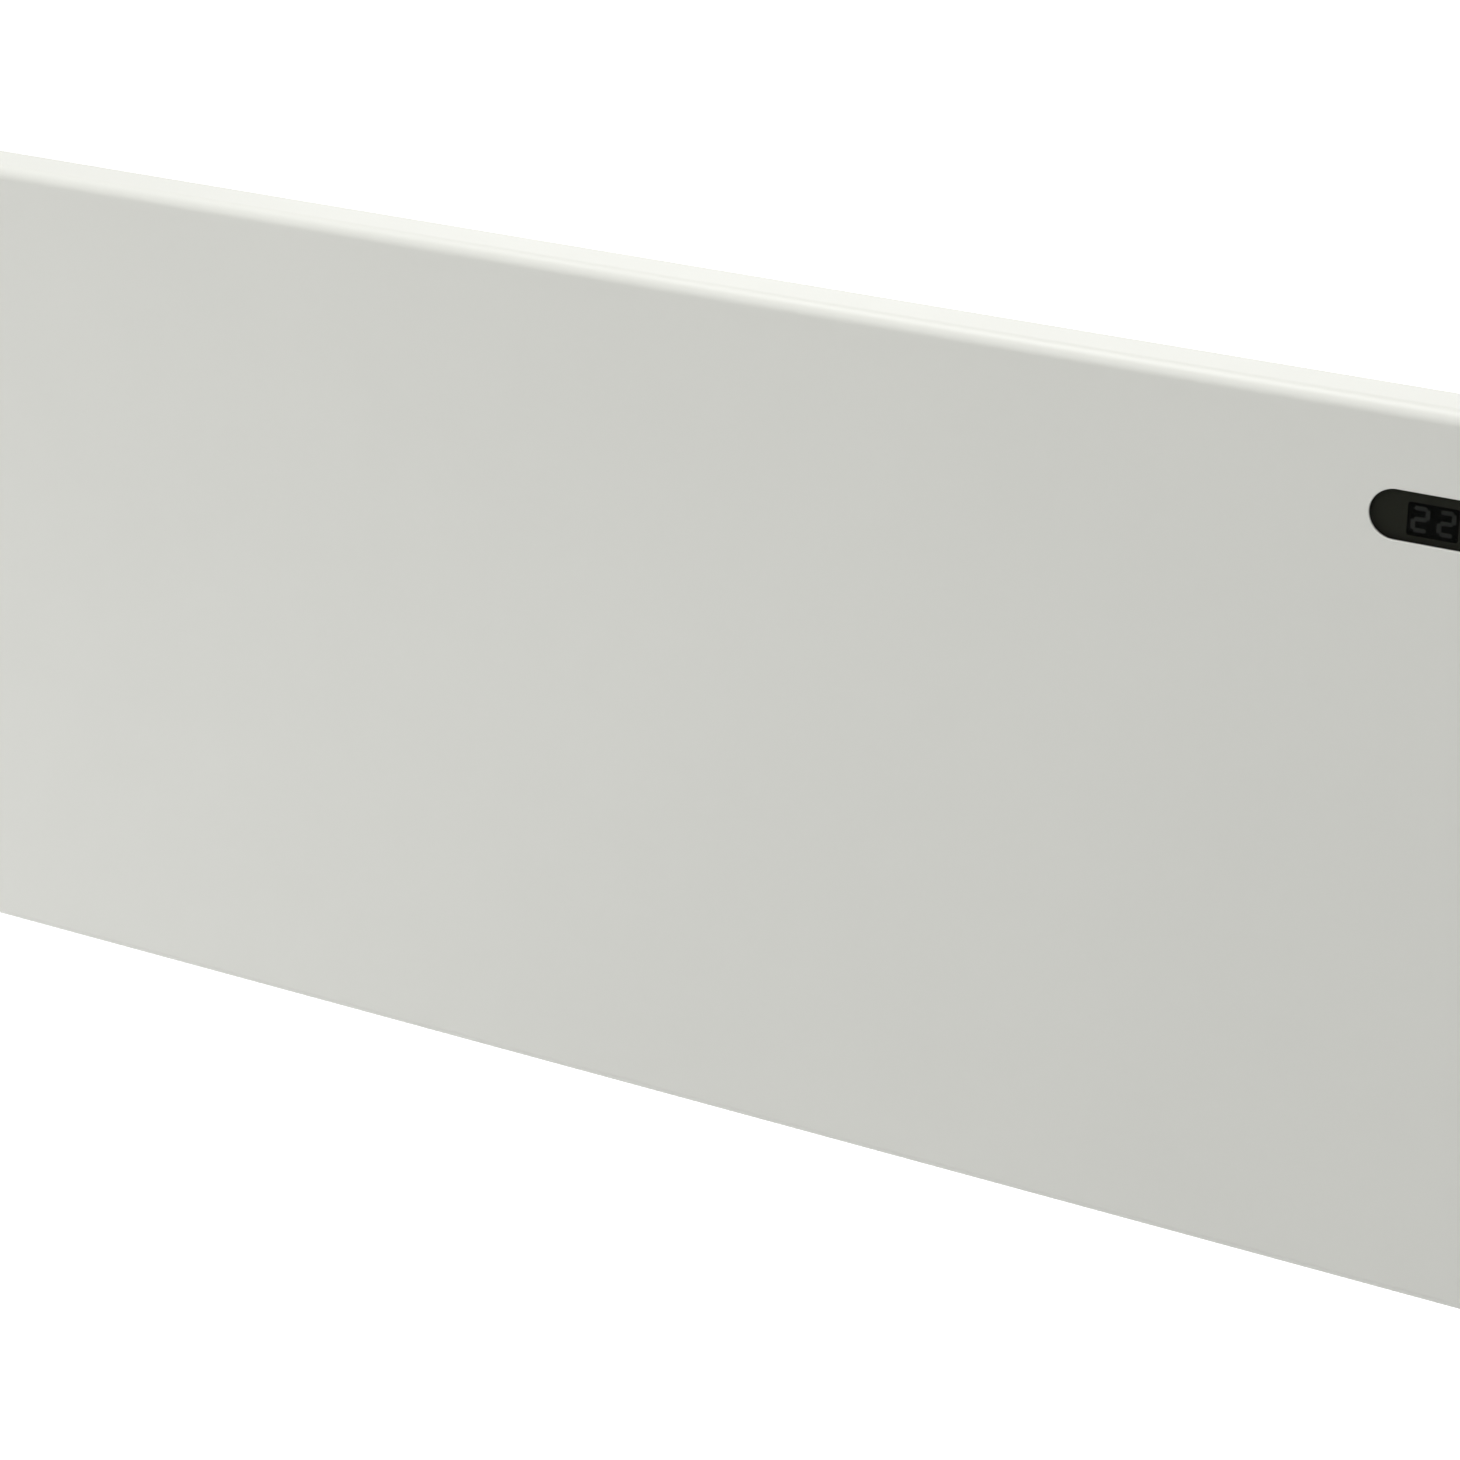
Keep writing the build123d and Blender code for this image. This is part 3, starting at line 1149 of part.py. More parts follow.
make_front_panel()
make_rear_casing()
make_end_cap(-1, "end_cap_left")
make_end_cap(1, "end_cap_right")
make_hanger_hooks()
make_casing_fasteners()
make_heat_shield()
make_element()
for bracket_name in element_bracket_xs:
    make_element_bracket(bracket_name)
make_thermal_cutout()
make_partition()
make_power_board()
make_board_components()
make_leads()
make_sensor()
make_display()
make_rocker_switch()
make_cord_gland()
for arm_side, arm_name in ((-1, "bracket_arm_left"), (1, "bracket_arm_right")):
    make_bracket_arm(arm_side, arm_name)
for crossbar_name in crossbar_zs:
    make_crossbar(crossbar_name)
make_bracket_fasteners()
for latch_side, latch_name in ((-1, "latch_left"), (1, "latch_right")):
    make_latch(latch_side, latch_name)
make_latch_springs()
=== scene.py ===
"""Wall panel convector heater: its finishes, folded front, display film, cord gland, latch springs and light.

Metres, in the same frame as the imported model: +X to the right, +Z up, and the front faces -Y.
"""

import math

import bpy
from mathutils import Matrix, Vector


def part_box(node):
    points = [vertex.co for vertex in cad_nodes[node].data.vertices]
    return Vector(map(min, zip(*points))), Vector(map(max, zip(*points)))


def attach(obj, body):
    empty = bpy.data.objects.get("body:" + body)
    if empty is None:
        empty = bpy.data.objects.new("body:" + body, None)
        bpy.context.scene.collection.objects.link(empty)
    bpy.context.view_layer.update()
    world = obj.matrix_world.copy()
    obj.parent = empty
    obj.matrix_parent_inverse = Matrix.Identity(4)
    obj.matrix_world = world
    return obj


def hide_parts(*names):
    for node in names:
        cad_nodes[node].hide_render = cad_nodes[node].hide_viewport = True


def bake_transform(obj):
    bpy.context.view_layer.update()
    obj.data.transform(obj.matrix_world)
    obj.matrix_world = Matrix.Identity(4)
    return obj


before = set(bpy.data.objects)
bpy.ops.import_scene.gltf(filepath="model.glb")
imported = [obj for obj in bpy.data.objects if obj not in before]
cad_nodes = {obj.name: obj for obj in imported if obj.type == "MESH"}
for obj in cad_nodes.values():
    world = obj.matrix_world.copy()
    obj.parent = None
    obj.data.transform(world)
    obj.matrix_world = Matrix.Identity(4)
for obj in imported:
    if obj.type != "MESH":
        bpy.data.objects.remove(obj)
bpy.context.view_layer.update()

MM = 0.001
quarter_turn = math.pi / 2

# ---- measures taken from the frame -------------------------------------------------------------
panel_low, panel_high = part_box("front_panel")
sheet_end = panel_high.x
face_y = panel_low.y
pan_back_y = panel_high.y
panel_top, panel_bottom = panel_high.z, panel_low.z

sheet = 1.0 * MM
top_bend, bottom_bend, lip_bend = 5.5 * MM, 5.0 * MM, 2.0 * MM
upper_lip, lower_lip = 27.0 * MM, 25.0 * MM

window_low, window_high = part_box("display_window")
window_flange = 2.0 * MM
pill_radius = (window_high.z - window_low.z) / 2 - window_flange
pill_length = window_high.x - window_low.x - 2 * window_flange
pill_middle = (window_low + window_high) / 2
pill_gap = 0.2 * MM


# ---- modelling by hand -------------------------------------------------------------------------
def deselect_all():
    """Nothing is selected or active afterwards."""
    for each in bpy.context.selected_objects:
        each.select_set(False)
    bpy.context.view_layer.objects.active = None


def take(piece):
    """Makes one piece the only selected one, and active."""
    deselect_all()
    piece.select_set(True)
    bpy.context.view_layer.objects.active = piece


def start_piece(name, add_primitive, **settings):
    """A new piece from a primitive, with its place and size moved into its mesh."""
    deselect_all()
    add_primitive(**settings)
    piece = bpy.context.object
    piece.name = name
    piece.data.name = name
    settle(piece)
    return piece


def settle(piece):
    """Moves the piece's place, turn and size into its mesh."""
    take(piece)
    bpy.ops.object.transform_apply(location=True, rotation=True, scale=True)


def edit(piece, mode="VERT"):
    """Opens a piece for editing with nothing selected."""
    take(piece)
    bpy.ops.object.mode_set(mode="EDIT")
    bpy.ops.mesh.select_mode(type=mode)
    bpy.ops.mesh.select_all(action="DESELECT")


def pick(piece, wanted):
    """Selects the vertices whose place the test accepts, and the edges and faces between them."""
    bpy.ops.object.mode_set(mode="OBJECT")
    for vertex in piece.data.vertices:
        vertex.select = wanted(vertex.co)
    for edge in piece.data.edges:
        edge.select = all(piece.data.vertices[i].select for i in edge.vertices)
    for face in piece.data.polygons:
        face.select = all(piece.data.vertices[i].select for i in face.vertices)
    bpy.ops.object.mode_set(mode="EDIT")


def pick_edges(piece, wanted):
    """Selects the edges whose two ends the test accepts."""
    bpy.ops.object.mode_set(mode="OBJECT")
    for edge in piece.data.edges:
        edge.select = wanted(*(piece.data.vertices[i].co for i in edge.vertices))
    bpy.ops.object.mode_set(mode="EDIT")


def push(x=0.0, y=0.0, z=0.0):
    """Extrudes what is selected along a straight line."""
    bpy.ops.mesh.extrude_region_move(TRANSFORM_OT_translate={"value": (x, y, z)})


def close_edit():
    """Leaves editing, with doubles merged and every face pointing outwards."""
    bpy.ops.mesh.select_all(action="SELECT")
    bpy.ops.mesh.remove_doubles(threshold=0.001 * MM)
    bpy.ops.mesh.normals_make_consistent(inside=False)
    bpy.ops.object.mode_set(mode="OBJECT")


def apply_modifier(piece, kind, **settings):
    """Adds one modifier and applies it at once."""
    take(piece)
    modifier = piece.modifiers.new(kind.title(), kind)
    for name, value in settings.items():
        setattr(modifier, name, value)
    bpy.ops.object.modifier_apply(modifier=modifier.name)


def cut(piece, *cutters):
    """Takes each cutter's shape out of the piece, and removes the cutter."""
    for cutter in cutters:
        apply_modifier(piece, "BOOLEAN", operation="DIFFERENCE", solver="EXACT", object=cutter)
        bpy.data.objects.remove(cutter)


def smooth_shade(piece, angle=35.0):
    """Smooth over round stretches and crisp at edges, with flat faces kept flat."""
    take(piece)
    bpy.ops.object.shade_smooth_by_angle(angle=math.radians(angle))
    apply_modifier(piece, "WEIGHTED_NORMAL", keep_sharp=True, weight=100)


def upright_pill(name, front, depth, rim=0.0, steps=96):
    """A solid in the display's outline, grown by rim, running back from the front."""
    radius = pill_radius + rim
    half_step = math.pi / steps
    left = pill_middle.x - pill_length / 2 + pill_radius
    pill = start_piece(
        name, bpy.ops.mesh.primitive_circle_add, vertices=steps, radius=radius, fill_type="NGON",
        location=(left, front, pill_middle.z), rotation=(quarter_turn, half_step, 0))
    edit(pill)
    pick(pill, lambda at: at.x > left)
    bpy.ops.transform.translate(value=(pill_length - 2 * pill_radius, 0, 0))
    bpy.ops.mesh.select_all(action="SELECT")
    push(y=depth)
    close_edit()
    return pill


# ---- shader building ---------------------------------------------------------------------------
def add_node(tree, kind, inputs=None, **settings):
    """Adds a shader node; its inputs are set to plain values or linked to other sockets."""
    node = tree.nodes.new("ShaderNode" + kind)
    for name, value in settings.items():
        setattr(node, name, value)
    for name, value in (inputs or {}).items():
        feed(tree, node.inputs[name], value)
    return node


def feed(tree, socket, value):
    """Links a socket to another, or sets its plain value."""
    if isinstance(value, bpy.types.NodeSocket):
        tree.links.new(value, socket)
    else:
        socket.default_value = value


def sums(tree, operation, first, second=0.0):
    """One step of arithmetic on two values."""
    return add_node(tree, "Math", {0: first, 1: second}, operation=operation).outputs[0]


def distance(tree, across, up):
    """The straight distance over two lengths at right angles."""
    return sums(tree, "SQRT", sums(tree, "ADD", sums(tree, "MULTIPLY", across, across),
                                   sums(tree, "MULTIPLY", up, up)))


def spread(tree, value, low, high):
    """A value from 0 to 1 stretched over another range."""
    return add_node(tree, "MapRange", {"Value": value, "To Min": low, "To Max": high}).outputs["Result"]


def step_between(tree, value, start, end):
    """0 below start, 1 above end, and smooth between them."""
    return add_node(tree, "MapRange", {"Value": value, "From Min": start, "From Max": end},
                    interpolation_type="SMOOTHSTEP").outputs["Result"]


def mix(tree, factor, first, second):
    """One colour over another."""
    node = add_node(tree, "Mix", data_type="RGBA")
    for index, value in ((0, factor), (6, first), (7, second)):
        feed(tree, node.inputs[index], value)
    return node.outputs[2]


def shade(tree, colour, factor):
    """A colour made darker or lighter by a factor."""
    node = add_node(tree, "Mix", data_type="RGBA", blend_type="MULTIPLY")
    for index, value in ((0, 1.0), (6, colour), (7, factor)):
        feed(tree, node.inputs[index], value)
    return node.outputs[2]


def place(tree, stretch=(1.0, 1.0, 1.0), offset=(0.0, 0.0, 0.0)):
    """Object coordinates in metres, moved and then stretched."""
    source = add_node(tree, "TexCoord").outputs["Object"]
    moved = add_node(tree, "VectorMath", {0: source, 1: offset}, operation="SUBTRACT").outputs[0]
    return add_node(tree, "VectorMath", {0: moved, 1: stretch}, operation="MULTIPLY").outputs[0]


def clouds(tree, size, detail=2.0, vector=None):
    """Soft noise from 0 to 1 with features of one size."""
    scale = 1.0 / size if isinstance(size, float) else sums(tree, "DIVIDE", 1.0, size)
    source = vector or place(tree)
    return add_node(tree, "TexNoise", {"Vector": source, "Scale": scale, "Detail": detail}).outputs[0]


def cells(tree, size, vector=None, randomness=1.0, **settings):
    """The distance to the middle or the edge of the nearest cell, in a field of cells of one size."""
    inputs = {"Vector": vector or place(tree), "Scale": 1 / size, "Randomness": randomness}
    return add_node(tree, "TexVoronoi", inputs, **settings).outputs["Distance"]


def measured_from(tree, origin):
    """The distances along X, Y and Z from a point."""
    return add_node(tree, "SeparateXYZ", {0: place(tree, offset=origin)}).outputs


def effect(name, inputs, outputs):
    """A shader group for one effect, with its named inputs and outputs."""
    group = bpy.data.node_groups.new(name, "ShaderNodeTree")
    for label, value in inputs.items():
        kind = "NodeSocketFloat" if isinstance(value, float) else (
            "NodeSocketColor" if len(value) == 4 else "NodeSocketVector")
        group.interface.new_socket(label, in_out="INPUT", socket_type=kind).default_value = value
    for label in outputs:
        kind = "NodeSocketColor" if label == "Colour" else (
            "NodeSocketVector" if label == "Normal" else "NodeSocketFloat")
        group.interface.new_socket(label, in_out="OUTPUT", socket_type=kind)
    return group, group.nodes.new("NodeGroupInput").outputs, group.nodes.new("NodeGroupOutput").inputs


def use_effect(tree, group, inputs=None):
    """Places a shader group in a material and returns its outputs."""
    node = tree.nodes.new("ShaderNodeGroup")
    node.node_tree = group
    for name, value in (inputs or {}).items():
        feed(tree, node.inputs[name], value)
    return node.outputs


def paint(red, green, blue):
    """A colour with its alpha."""
    return (red, green, blue, 1.0)


# ---- shared effects ----------------------------------------------------------------------------
def make_powder_effect():
    """Baked powder coat: a fine orange peel, with a faint cloudiness in colour and gloss."""
    group, given, out = effect(
        "Powder coat",
        {"Colour": paint(0.8, 0.8, 0.8), "Peel size": 1.4 * MM, "Gloss": 0.4},
        ("Colour", "Roughness", "Height"))
    cloud = clouds(group, 160 * MM, 1.0)
    feed(group, out["Colour"], shade(group, given["Colour"], spread(group, cloud, 0.975, 1.02)))
    fine = clouds(group, 20 * MM, 3.0)
    feed(group, out["Roughness"], sums(group, "ADD", given["Gloss"], spread(group, fine, -0.04, 0.04)))
    feed(group, out["Height"], clouds(group, given["Peel size"], 2.0))
    return group


def make_moulded_effect():
    """Injection-moulded plastic: a spark-eroded grain and slightly uneven gloss."""
    group, given, out = effect(
        "Moulded plastic",
        {"Colour": paint(0.5, 0.5, 0.5), "Grain size": 0.5 * MM, "Gloss": 0.4},
        ("Colour", "Roughness", "Height"))
    flow = clouds(group, 30 * MM, 2.0)
    feed(group, out["Colour"], shade(group, given["Colour"], spread(group, flow, 0.93, 1.05)))
    grain = clouds(group, given["Grain size"], 4.0)
    uneven = sums(group, "ADD", spread(group, flow, -0.06, 0.06), spread(group, grain, -0.05, 0.05))
    feed(group, out["Roughness"], sums(group, "ADD", given["Gloss"], uneven))
    feed(group, out["Height"], grain)
    return group


def make_rolled_effect():
    """Rolled or drawn metal: fine lines along one direction, with patches of wear in the gloss."""
    group, given, out = effect(
        "Rolled metal",
        {"Colour": paint(0.7, 0.7, 0.7), "Lines": (1.0, 1.0, 1.0), "Gloss": 0.3},
        ("Colour", "Roughness", "Height"))
    lines = clouds(group, 2.0 * MM, 6.0, place(group, stretch=given["Lines"]))
    patches = clouds(group, 25 * MM, 3.0)
    tone = sums(group, "MULTIPLY", spread(group, lines, 0.86, 1.1), spread(group, patches, 0.92, 1.06))
    feed(group, out["Colour"], shade(group, given["Colour"], tone))
    uneven = sums(group, "ADD", spread(group, lines, -0.07, 0.07), spread(group, patches, -0.07, 0.07))
    feed(group, out["Roughness"], sums(group, "ADD", given["Gloss"], uneven))
    feed(group, out["Height"], lines)
    return group


def make_eased_edge_effect():
    """Eased edges: the normal rolls over each edge, and the mask is 1 where the edge is rubbed."""
    group, given, out = effect("Eased edge", {"Radius": 0.3 * MM}, ("Normal", "Mask"))
    rolled = add_node(group, "Bevel", {"Radius": given["Radius"]}, samples=4).outputs["Normal"]
    true_normal = add_node(group, "NewGeometry").outputs["Normal"]
    facing = add_node(group, "VectorMath", {0: rolled, 1: true_normal},
                      operation="DOT_PRODUCT").outputs["Value"]
    rubbed = clouds(group, 4.0 * MM, 3.0)
    edge = step_between(group, facing, 0.995, 0.93)
    feed(group, out["Normal"], rolled)
    feed(group, out["Mask"], sums(group, "MULTIPLY", edge, step_between(group, rubbed, 0.35, 0.65)))
    return group


powder_effect = make_powder_effect()
moulded_effect = make_moulded_effect()
rolled_effect = make_rolled_effect()
eased_edge_effect = make_eased_edge_effect()

finishes = {}


def finish(tree, colour, roughness, height=None, relief=0.0, edge=None, **plain):
    """Joins the worked-out colour, gloss and relief to the shader, and sets its plain values."""
    shader = tree.nodes["Principled BSDF"]
    feed(tree, shader.inputs["Base Color"], colour)
    feed(tree, shader.inputs["Roughness"], roughness)
    if height is not None:
        inputs = {"Height": height, "Distance": relief}
        if edge is not None:
            inputs["Normal"] = edge
        feed(tree, shader.inputs["Normal"], add_node(tree, "Bump", inputs).outputs["Normal"])
    for name, value in plain.items():
        shader.inputs[name.replace("_", " ")].default_value = value


def new_finish(slot):
    """An empty material for a slot, and its node tree."""
    material = bpy.data.materials.new(slot + "_finish")
    material.use_nodes = True
    finishes[slot] = material
    return material.node_tree


# ---- finishes ----------------------------------------------------------------------------------
def finish_powder_coated_steel(slot, colour, gloss):
    """White powder coat on folded steel."""
    tree = new_finish(slot)
    coat = use_effect(tree, powder_effect, {"Colour": colour, "Gloss": gloss})
    finish(tree, coat["Colour"], coat["Roughness"], coat["Height"], 0.006 * MM)


def finish_moulded(slot, colour, gloss, grain=0.4 * MM, relief=0.005 * MM, rub=0.12, **plain):
    """Moulded plastic or rubber whose edges are eased and faintly rubbed."""
    tree = new_finish(slot)
    skin = use_effect(tree, moulded_effect, {"Colour": colour, "Grain size": grain, "Gloss": gloss})
    eased = use_effect(tree, eased_edge_effect, {"Radius": 0.25 * MM})
    rubbed = mix(tree, sums(tree, "MULTIPLY", eased["Mask"], rub), skin["Colour"], paint(0.6, 0.6, 0.58))
    finish(tree, rubbed, skin["Roughness"], skin["Height"], relief, edge=eased["Normal"], **plain)


def finish_rolled(slot, colour, gloss, lines, relief=0.003 * MM, film=None, film_size=12 * MM):
    """Rolled, drawn or turned metal; film is the colour of a thin tarnish, oil or passivation."""
    tree = new_finish(slot)
    metal = use_effect(tree, rolled_effect, {"Colour": colour, "Lines": lines, "Gloss": gloss})
    eased = use_effect(tree, eased_edge_effect, {"Radius": 0.2 * MM})
    filmed = metal["Colour"]
    if film is not None:
        filmed = mix(tree, spread(tree, clouds(tree, film_size, 3.0), 0.0, 0.7), filmed, film)
    bright = mix(tree, sums(tree, "MULTIPLY", eased["Mask"], 0.5), filmed, paint(0.8, 0.8, 0.79))
    finish(tree, bright, metal["Roughness"], metal["Height"], relief, edge=eased["Normal"], Metallic=1.0)


def finish_galvanised_steel():
    """Hot-dip galvanised sheet: zinc crystals a few millimetres across, each with its own tone and gloss."""
    warp = 4 * MM
    tree = new_finish("galvanised_steel")
    wander = add_node(tree, "TexNoise", {"Vector": place(tree), "Scale": 1 / (9 * MM), "Detail": 2.0})
    bent = add_node(tree, "VectorMath", {0: wander.outputs["Color"], 1: (warp,) * 3},
                    operation="MULTIPLY").outputs[0]
    warped = add_node(tree, "VectorMath", {0: place(tree), 1: bent}, operation="ADD").outputs[0]
    crystals = add_node(tree, "TexVoronoi", {"Vector": warped, "Scale": 1 / (7 * MM)}, feature="F1")
    tone = add_node(tree, "SeparateColor", {0: crystals.outputs["Color"]}).outputs
    colour = mix(tree, tone[0], paint(0.27, 0.285, 0.31), paint(0.4, 0.415, 0.43))
    dull = mix(tree, spread(tree, clouds(tree, 60 * MM, 3.0), 0.0, 0.5), colour, paint(0.33, 0.33, 0.315))
    fine_dulling = spread(tree, clouds(tree, 3 * MM), 0.0, 0.08)
    roughness = sums(tree, "ADD", spread(tree, tone[1], 0.34, 0.5), fine_dulling)
    eased = use_effect(tree, eased_edge_effect, {"Radius": 0.25 * MM})
    bright = mix(tree, sums(tree, "MULTIPLY", eased["Mask"], 0.4), dull, paint(0.55, 0.56, 0.57))
    height = sums(tree, "ADD", tone[2], clouds(tree, 1.2 * MM, 3.0))
    finish(tree, bright, roughness, height, 0.004 * MM, edge=eased["Normal"], Metallic=1.0)


def finish_element_sheath():
    """The stainless sheath: straw and brown heat colours where it is hot, bare grey at its cold ends."""
    tree = new_finish("sheath_steel")
    metal = use_effect(tree, rolled_effect, {"Colour": paint(0.5, 0.49, 0.47), "Lines": (0.1, 3.0, 3.0),
                                             "Gloss": 0.3})
    low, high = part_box("element_fins")
    along = measured_from(tree, ((low.x + high.x) / 2, 0, 0))["X"]
    half = (high.x - low.x) / 2
    cold_past, hot_within = 16 * MM, 10 * MM
    hot = step_between(tree, sums(tree, "ABSOLUTE", along), half + cold_past, half - hot_within)
    straw = mix(tree, spread(tree, clouds(tree, 30 * MM, 3.0), 0.0, 1.0), paint(0.42, 0.31, 0.17),
                paint(0.25, 0.19, 0.2))
    finish(tree, mix(tree, hot, metal["Colour"], straw), metal["Roughness"], metal["Height"], 0.003 * MM,
           Metallic=1.0)


def finish_glazed_ceramic():
    """Steatite bushings: off-white with fine grey-brown specks."""
    tree = new_finish("ceramic_white")
    glaze, fleck = paint(0.72, 0.7, 0.63), paint(0.4, 0.36, 0.3)
    speckled = mix(tree, step_between(tree, cells(tree, 1.1 * MM), 0.16, 0.08), glaze, fleck)
    body = use_effect(tree, moulded_effect, {"Colour": speckled, "Grain size": 0.3 * MM, "Gloss": 0.32})
    finish(tree, body["Colour"], body["Roughness"], body["Height"], 0.006 * MM)


def finish_filled_moulding(slot, colour, filler, gloss):
    """Thermoset moulding with pale filler showing as fine specks."""
    tree = new_finish(slot)
    speckled = mix(tree, step_between(tree, cells(tree, 0.7 * MM), 0.2, 0.1), colour, filler)
    body = use_effect(tree, moulded_effect, {"Colour": speckled, "Grain size": 0.6 * MM, "Gloss": gloss})
    eased = use_effect(tree, eased_edge_effect, {"Radius": 0.25 * MM})
    finish(tree, body["Colour"], body["Roughness"], body["Height"], 0.006 * MM, edge=eased["Normal"])


def finish_circuit_board():
    """Green solder mask over copper: tracks on a grid stand out paler, with tinned pads on some of them."""
    tree = new_finish("board_green")
    flat = place(tree, stretch=(1.0, 0.0, 1.0))
    gaps = cells(tree, 7 * MM, flat, 0.9, distance="CHEBYCHEV", feature="DISTANCE_TO_EDGE")
    track = step_between(tree, gaps, 0.11, 0.08)
    mask = mix(tree, track, paint(0.008, 0.07, 0.03), paint(0.02, 0.16, 0.06))
    pads = cells(tree, 5 * MM, flat, 0.55)
    ring = sums(tree, "MULTIPLY", step_between(tree, pads, 0.2, 0.17), step_between(tree, pads, 0.07, 0.09))
    tinned = mix(tree, ring, mask, paint(0.55, 0.55, 0.53))
    uneven = use_effect(tree, moulded_effect, {"Colour": tinned, "Grain size": 0.8 * MM, "Gloss": 0.3})
    raised = sums(tree, "ADD", track, ring)
    finish(tree, uneven["Colour"], uneven["Roughness"], raised, 0.03 * MM)


def finish_transformer():
    """Yellow tape wound round the bobbin, and the dark ferrite core that stands round it."""
    tree = new_finish("winding_tape")
    winding_stand, margin, tape_width = 4 * MM, 0.05 * MM, 2.6 * MM
    low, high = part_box("transformer")
    core_half_height = (high.z - low.z) / 2 - winding_stand
    at = measured_from(tree, (0, low.y + winding_stand, (low.z + high.z) / 2))
    above = sums(tree, "GREATER_THAN", sums(tree, "ABSOLUTE", at["Z"]), core_half_height + margin)
    before = sums(tree, "LESS_THAN", at["Y"], -margin)
    wound = sums(tree, "MAXIMUM", above, before)
    wraps = sums(tree, "FRACT", sums(tree, "DIVIDE", at["Y"], tape_width))
    lap = step_between(tree, wraps, 0.1, 0.0)
    tape = mix(tree, lap, paint(0.75, 0.47, 0.05), paint(0.45, 0.26, 0.03))
    colour = mix(tree, wound, paint(0.035, 0.035, 0.037), tape)
    body = use_effect(tree, moulded_effect, {"Colour": colour, "Grain size": 0.5 * MM, "Gloss": 0.38})
    height = sums(tree, "SUBTRACT", body["Height"], sums(tree, "MULTIPLY", lap, wound))
    finish(tree, body["Colour"], body["Roughness"], height, 0.02 * MM)


def finish_capacitor_sleeve():
    """Dark shrink sleeve with a pale stripe down one side, and a bare aluminium end whose scored cross is
    painted shade.
    """
    tree = new_finish("capacitor_sleeve")
    rim_depth, score_width = 0.2 * MM, 0.25 * MM
    end_share, stripe_share = 0.78, 0.72
    low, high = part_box("capacitors")
    radius = (high.x - low.x) / 2
    pitch = high.z - low.z - 2 * radius
    at = measured_from(tree, ((low.x + high.x) / 2, low.y, low.z + radius))
    nearest = sums(tree, "PINGPONG", at["Z"], pitch)
    offset = sums(tree, "MINIMUM", sums(tree, "ABSOLUTE", nearest),
                  sums(tree, "ABSOLUTE", sums(tree, "SUBTRACT", nearest, pitch)))
    from_axis = distance(tree, at["X"], offset)
    end = sums(tree, "MULTIPLY", sums(tree, "LESS_THAN", at["Y"], rim_depth),
               sums(tree, "LESS_THAN", from_axis, radius * end_share))
    stripe = sums(tree, "LESS_THAN", at["X"], -radius * stripe_share)
    striped = mix(tree, stripe, paint(0.015, 0.02, 0.045), paint(0.45, 0.48, 0.5))
    off_cross = sums(tree, "MINIMUM", sums(tree, "ABSOLUTE", at["X"]), offset)
    # painted shade: the scored cross on the end is painted darker in place of the shade in its grooves
    scored_cross_shade = sums(tree, "LESS_THAN", off_cross, score_width)
    metal_end = mix(tree, scored_cross_shade, paint(0.68, 0.68, 0.69), paint(0.3, 0.3, 0.3))
    sleeve = use_effect(tree, moulded_effect, {"Colour": striped, "Grain size": 0.6 * MM, "Gloss": 0.28})
    colour = mix(tree, end, sleeve["Colour"], metal_end)
    finish(tree, colour, sleeve["Roughness"], sleeve["Height"], 0.004 * MM)
    feed(tree, tree.nodes["Principled BSDF"].inputs["Metallic"], end)


def finish_insulated_lead(slot, colour, weave):
    """Insulation on a lead: weave above 0 is the relief of a woven glass sleeve."""
    tree = new_finish(slot)
    skin = use_effect(tree, moulded_effect, {"Colour": colour, "Grain size": 0.9 * MM, "Gloss": 0.45})
    dust = spread(tree, clouds(tree, 18 * MM, 2.0), 0.0, 0.2)
    dusty = mix(tree, dust, skin["Colour"], paint(0.25, 0.22, 0.2))
    threads = sums(tree, "MULTIPLY", weave_wave(tree, 1.0), weave_wave(tree, -1.0))
    woven = sums(tree, "MULTIPLY", threads, weave)
    height = sums(tree, "ADD", woven, sums(tree, "MULTIPLY", skin["Height"], 0.2))
    finish(tree, dusty, skin["Roughness"], height, 0.06 * MM)


def weave_wave(tree, lean):
    """Ridges half a millimetre apart that lean one way across the lead."""
    period = 0.9 * MM
    at = measured_from(tree, (0, 0, 0))
    along = sums(tree, "ADD", at["X"], sums(tree, "ADD", at["Z"], sums(tree, "MULTIPLY", at["Y"], lean)))
    return sums(tree, "SINE", sums(tree, "MULTIPLY", along, 2 * math.pi / period))


def finish_smoked_window():
    """Smoked acrylic: each face lets half the light through, and is polished with the faintest smears."""
    tree = new_finish("smoked_window")
    smear = clouds(tree, 9 * MM, 3.0, place(tree, stretch=(0.4, 1.0, 1.0)))
    tint = mix(tree, clouds(tree, 30 * MM), paint(0.001, 0.001, 0.0008), paint(0.002, 0.002, 0.0015))
    finish(tree, tint, spread(tree, smear, 0.04, 0.12), smear, 0.0005 * MM, Specular_IOR_Level=0.03)
    feed(tree, tree.nodes["Principled BSDF"].inputs["Alpha"], spread(tree, smear, 0.5, 0.53))


def finish_printed_film():
    """Dark warm-grey ink, matt, with the screen's fine dots just showing."""
    tree = new_finish("printed_film")
    dots = step_between(tree, cells(tree, 0.35 * MM, randomness=0.1), 0.3, 0.5)
    ink = mix(tree, dots, paint(0.33, 0.34, 0.255), paint(0.38, 0.39, 0.29))
    cloud = clouds(tree, 14 * MM)
    uneven = shade(tree, ink, spread(tree, cloud, 0.85, 1.15))
    finish(tree, uneven, spread(tree, cloud, 0.6, 0.75), cloud, 0.002 * MM, Specular_IOR_Level=0.0)


def finish_digit_module():
    """The reflector block round the digits: dull black resin."""
    tree = new_finish("digit_module")
    skin = use_effect(tree, moulded_effect, {"Colour": paint(0.002, 0.003, 0.002), "Grain size": 0.3 * MM,
                                             "Gloss": 0.55})
    finish(tree, skin["Colour"], skin["Roughness"], skin["Height"], 0.006 * MM, Specular_IOR_Level=0.02)


